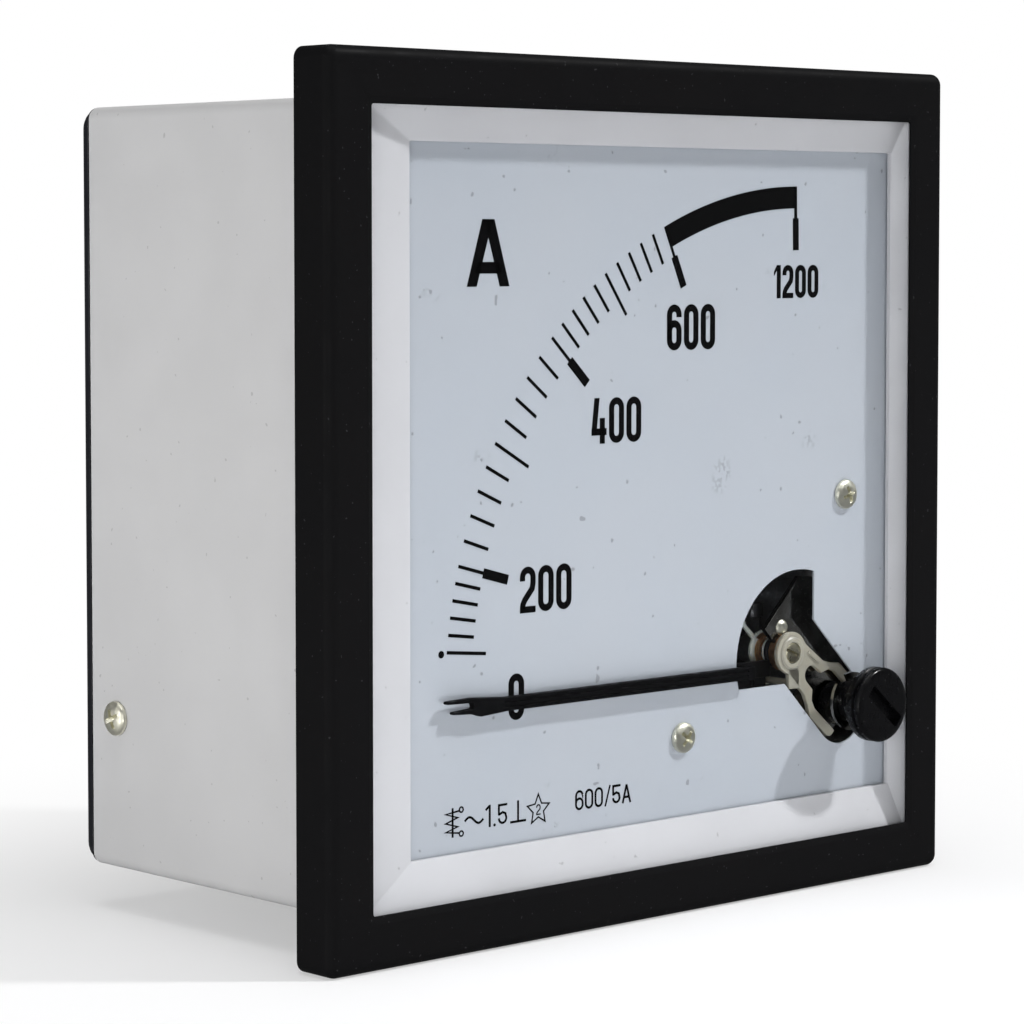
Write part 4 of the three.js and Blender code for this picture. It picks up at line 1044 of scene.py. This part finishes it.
def stud(node):
    low, high, middle = extent(node)
    head = low.y + 2.2
    profile = [(0.0, low.y), (3.9, low.y), (4.2, low.y + 0.3), (4.2, head - 0.1), (4.1, head), (2.5, head)]
    pitch = 0.7
    y = head + 0.6
    while y < high.y - 1.1:
        profile += [(2.5, y), (2.5, y + pitch * 0.12), (2.13, y + pitch * 0.5), (2.13, y + pitch * 0.62)]
        y += pitch
    profile += [(2.4, high.y - 0.9), (1.8, high.y - 0.15), (1.6, high.y), (0.0, high.y)]
    return lathe(profile, middle.x, middle.z, 48)


def nut(node):
    """A hexagon nut with both faces chamfered towards the corners and a bore round the stud."""
    low, high, middle = extent(node)
    corner = (high.x - low.x) / 2
    flat = corner * math.cos(math.pi / 6)
    steps = 96

    def ring(y, limit):
        points = []
        for i in range(steps):
            a = math.tau * i / steps
            hexagon = flat / math.cos((a + math.pi / 6) % (math.pi / 3) - math.pi / 6)
            r = min(hexagon, limit)
            points.append((middle.x + r * math.cos(a), y, middle.z + r * math.sin(a)))
        return points

    def hole(y, r):
        return ring_at(circle(middle.x, middle.z, r, steps), y)

    face = flat * 0.97
    chamfer = [(0.45 * i / 6 + 0.02, face + (corner - face) * i / 6) for i in range(1, 7)]
    rings = [ring(low.y, face)] + [ring(low.y + depth, limit) for depth, limit in chamfer]
    rings += [ring(high.y - depth, limit) for depth, limit in reversed(chamfer)] + [ring(high.y, face)]
    rings += [hole(high.y, 2.9), hole(high.y - 0.35, 2.56), hole(low.y + 0.35, 2.56), hole(low.y, 2.9)]
    return loft(rings)


def washer(node):
    low, high, middle = extent(node)
    profile = [(2.56, low.y + 0.06), (2.62, low.y), (5.1, low.y), (5.2, low.y + 0.12), (5.2, high.y - 0.2)]
    profile += [(5.08, high.y), (2.7, high.y), (2.56, high.y - 0.08)]
    return lathe(profile, middle.x, middle.z, 64)


# ---- Putting it together ----


def add_case():
    piece("bezel", bezel(), "case", BLACK, ["bezel_frame"])
    piece("case_shell", case_body(), "case", CASE_WHITE, ["case_body"])
    piece("back_cover", cover_body(), "case", COVER, ["rear_cover"])
    piece("tray", surround(), "case", TRAY_WHITE, ["dial_surround"])
    for side, node in ((-1, "cover_screw_left"), (1, "cover_screw_right")):
        low, high, middle = extent(node)
        screw = dome_screw((high.z - low.z) / 2, 0.9, 1.3, 4.4, math.radians(22))
        place(screw, side * (CASE_HALF + 0.05), middle.y, middle.z, side * math.pi / 2)
        piece(node + "_head", screw, "case", ZINC, [node])


def add_dial():
    piece("dial", dial(), "case", DIAL, ["dial_plate"])
    piece("dial_print", dial_print(), "case", PRINT, crease=20)
    for i, node in enumerate(("dial_screw_upper", "dial_screw_lower")):
        middle = centre(node)
        screw = dome_screw(1.75, 0.95, 1.05, 4.8, math.radians(20 + 30 * i))
        place(screw, middle.x, DIAL_LOW.y - 0.05, middle.z)
        piece(node + "_head", screw, "case", ZINC, [node])


def add_movement():
    piece("pointer_blade", pointer(), "pointer_assembly", POINTER_BLACK, ["pointer"])
    piece("foot", pointer_foot(), "pointer_assembly", FOOT_GREY, ["pointer_foot"])
    piece("spiral_spring", spring(), "zero_fork", BRONZE, ["hairspring"])
    piece("spring_holder", spring_anchor(), "zero_fork", MILKY, ["spring_anchor"])
    piece("fork", zero_lever(), "zero_fork", CREAM, ["zero_lever"])
    piece("front_jewel", jewel_screw(), "case", PALE, ["front_jewel_screw"])
    piece("knob", knob(), "zero_knob", KNOB_BLACK, ["zero_adjuster"])
    piece("cam", cam(), "zero_knob", KNOB_BLACK, ["adjuster_cam"])
    sheet, bush, rivet = bridge()
    piece("bridge", sheet, "case", STEEL, ["front_bridge"])
    piece("bridge_bush", bush, "case", BRONZE)
    piece("bridge_rivet", rivet, "case", ZINC)
    pan_head("bridge_screw_a", "bridge_screw_lower", 0.7)
    pan_head("bridge_screw_b", "bridge_screw_upper", 1.9)


def add_terminals():
    for side in ("left", "right"):
        for kind, make in (("stud", stud), ("nut", nut), ("washer", washer)):
            node = f"terminal_{kind}_{side}"
            piece(f"{kind}_{side}", make(node), "case", BRASS, [node])


KEPT = {
    PANE: ("window_pane",),
    STEEL: ("adjuster_clip",),
    MILKY: ("spindle_collar",),
    CAST: ("balance_cross", "movement_chassis"),
    IRON: ("balance_weight_long", "balance_weight_short", "moving_iron_vane", "fixed_iron_vane"),
    ZINC: ("chassis_screw_upper", "chassis_screw_lower"),
    BOBBIN: ("coil_bobbin",),
    COPPER: ("coil_winding", "lead_strap_left", "lead_strap_right"),
    BRASS: ("rear_jewel_screw",),
    MATT_STEEL: ("spindle", "stop_pin_low", "stop_pin_high")
    + ("rear_bridge", "rear_bridge_screw_upper", "rear_bridge_screw_lower"),
}


def finish_kept():
    """Gives the CAD nodes that stay their finished surfaces."""
    for material, nodes in KEPT.items():
        for node in nodes:
            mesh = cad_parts[node].data
            mesh.materials.clear()
            mesh.materials.append(material)


add_case()
add_dial()
add_movement()
add_terminals()
finish_kept()


# ---- Camera, light and floor ----

CAMERA_AT = Vector((-265.69, -269.76, 28.16)) * MM
CAMERA_YAW, CAMERA_PITCH = math.radians(42.630), math.radians(-3.244)
LENS = 118.23
SHIFT_Y = -0.08
FILL = (0.23, 0.11)  # strength of the surroundings from below and from above


def add_camera():
    data = bpy.data.cameras.new("camera")
    data.lens = LENS
    data.sensor_width = 36
    data.shift_y = SHIFT_Y
    data.clip_start = 0.01
    camera = linked("camera", data)
    camera.location = CAMERA_AT
    camera.rotation_euler = (math.pi / 2 + CAMERA_PITCH, 0, -CAMERA_YAW)
    bpy.context.scene.camera = camera


def add_softbox(name, at, power, size):
    """A lamp that faces the object. Nothing mirrors the bounce lamps, which stand for light off a table."""
    data = bpy.data.lights.new(name, "AREA")
    data.shape = "RECTANGLE"
    data.size, data.size_y = size
    data.energy = power
    lamp = linked(name, data)
    lamp.location = at
    lamp.visible_camera = False
    lamp.visible_glossy = "bounce" not in name
    lamp.rotation_euler = (-Vector(at)).to_track_quat("-Z", "Y").to_euler()


def add_world():
    """Even dim light, a little stronger from low down, with a pale backdrop behind the object."""
    world = bpy.data.worlds.new("studio")
    bpy.context.scene.world = world
    world.use_nodes = True
    tree = world.node_tree
    tree.nodes.clear()

    def node(kind):
        return tree.nodes.new("ShaderNode" + kind)

    backdrop = node("Background")
    backdrop.inputs["Color"].default_value = (1, 1, 1, 1)
    fill = node("Background")
    fill.inputs["Color"].default_value = (0.97, 0.985, 1.0, 1)
    coords = node("TexCoord")
    parts = node("SeparateXYZ")
    height = node("MapRange")
    height.interpolation_type = "SMOOTHSTEP"
    for key, number in zip(("From Min", "From Max", "To Min", "To Max"), (-0.35, 0.35, *FILL)):
        height.inputs[key].default_value = number
    path = node("LightPath")
    mix = node("MixShader")
    output = node("OutputWorld")
    tree.links.new(coords.outputs["Generated"], parts.inputs[0])
    tree.links.new(parts.outputs["Z"], height.inputs["Value"])
    tree.links.new(height.outputs["Result"], fill.inputs["Strength"])
    tree.links.new(path.outputs["Is Camera Ray"], mix.inputs[0])
    tree.links.new(fill.outputs[0], mix.inputs[1])
    tree.links.new(backdrop.outputs[0], mix.inputs[2])
    tree.links.new(mix.outputs[0], output.inputs[0])


def add_floor():
    """A pale floor with a soft contact shadow that fades into the backdrop away from the object."""
    bm = bmesh.new()
    bmesh.ops.create_circle(bm, cap_ends=True, segments=96, radius=700)
    bmesh.ops.translate(bm, vec=(0, 20, BEZEL_LOW.z - 0.02), verts=bm.verts)
    floor = to_mesh_object("floor", bm)
    look = Look("floor", (0.85, 0.85, 0.86), 0.8)
    look.tint(look.ramp(look.noise(60, detail=2), 0.0, 0.2), (0.82, 0.82, 0.83))
    white = look.node("Emission")
    distance = look.node("VectorMath", operation="LENGTH")
    look.link(look.coords, distance.inputs[0])
    away = look.ramp(distance.outputs["Value"], 0.4, 1.0, at=(0.05, 0.15))
    path = look.node("LightPath")
    mix = look.node("MixShader")
    look.link(look.times(away, path.outputs["Is Camera Ray"]), mix.inputs[0])
    look.link(look.shader.outputs[0], mix.inputs[1])
    look.link(white.outputs[0], mix.inputs[2])
    look.finish(mix)
    floor.data.materials.append(look.material)
    floor.visible_glossy = False


bpy.context.scene.view_settings.view_transform = "Standard"
add_camera()
add_world()
add_floor()
add_softbox("key", (0.57, -0.55, 0.85), 10.2, (0.07, 0.07))
add_softbox("top", (-0.1, -0.1, 1.1), 6.5, (0.8, 0.8))
add_softbox("left", (-1.1, 0.25, -0.02), 3.5, (0.7, 0.8))
add_softbox("front_left", (-0.95, -0.62, 0.0), 4, (0.35, 0.5))
add_softbox("bounce_front", (0.0, -0.085, -0.042), 0.06, (0.2, 0.05))
add_softbox("bounce_side", (-0.165, 0.03, -0.043), 0.065, (0.1, 0.05))
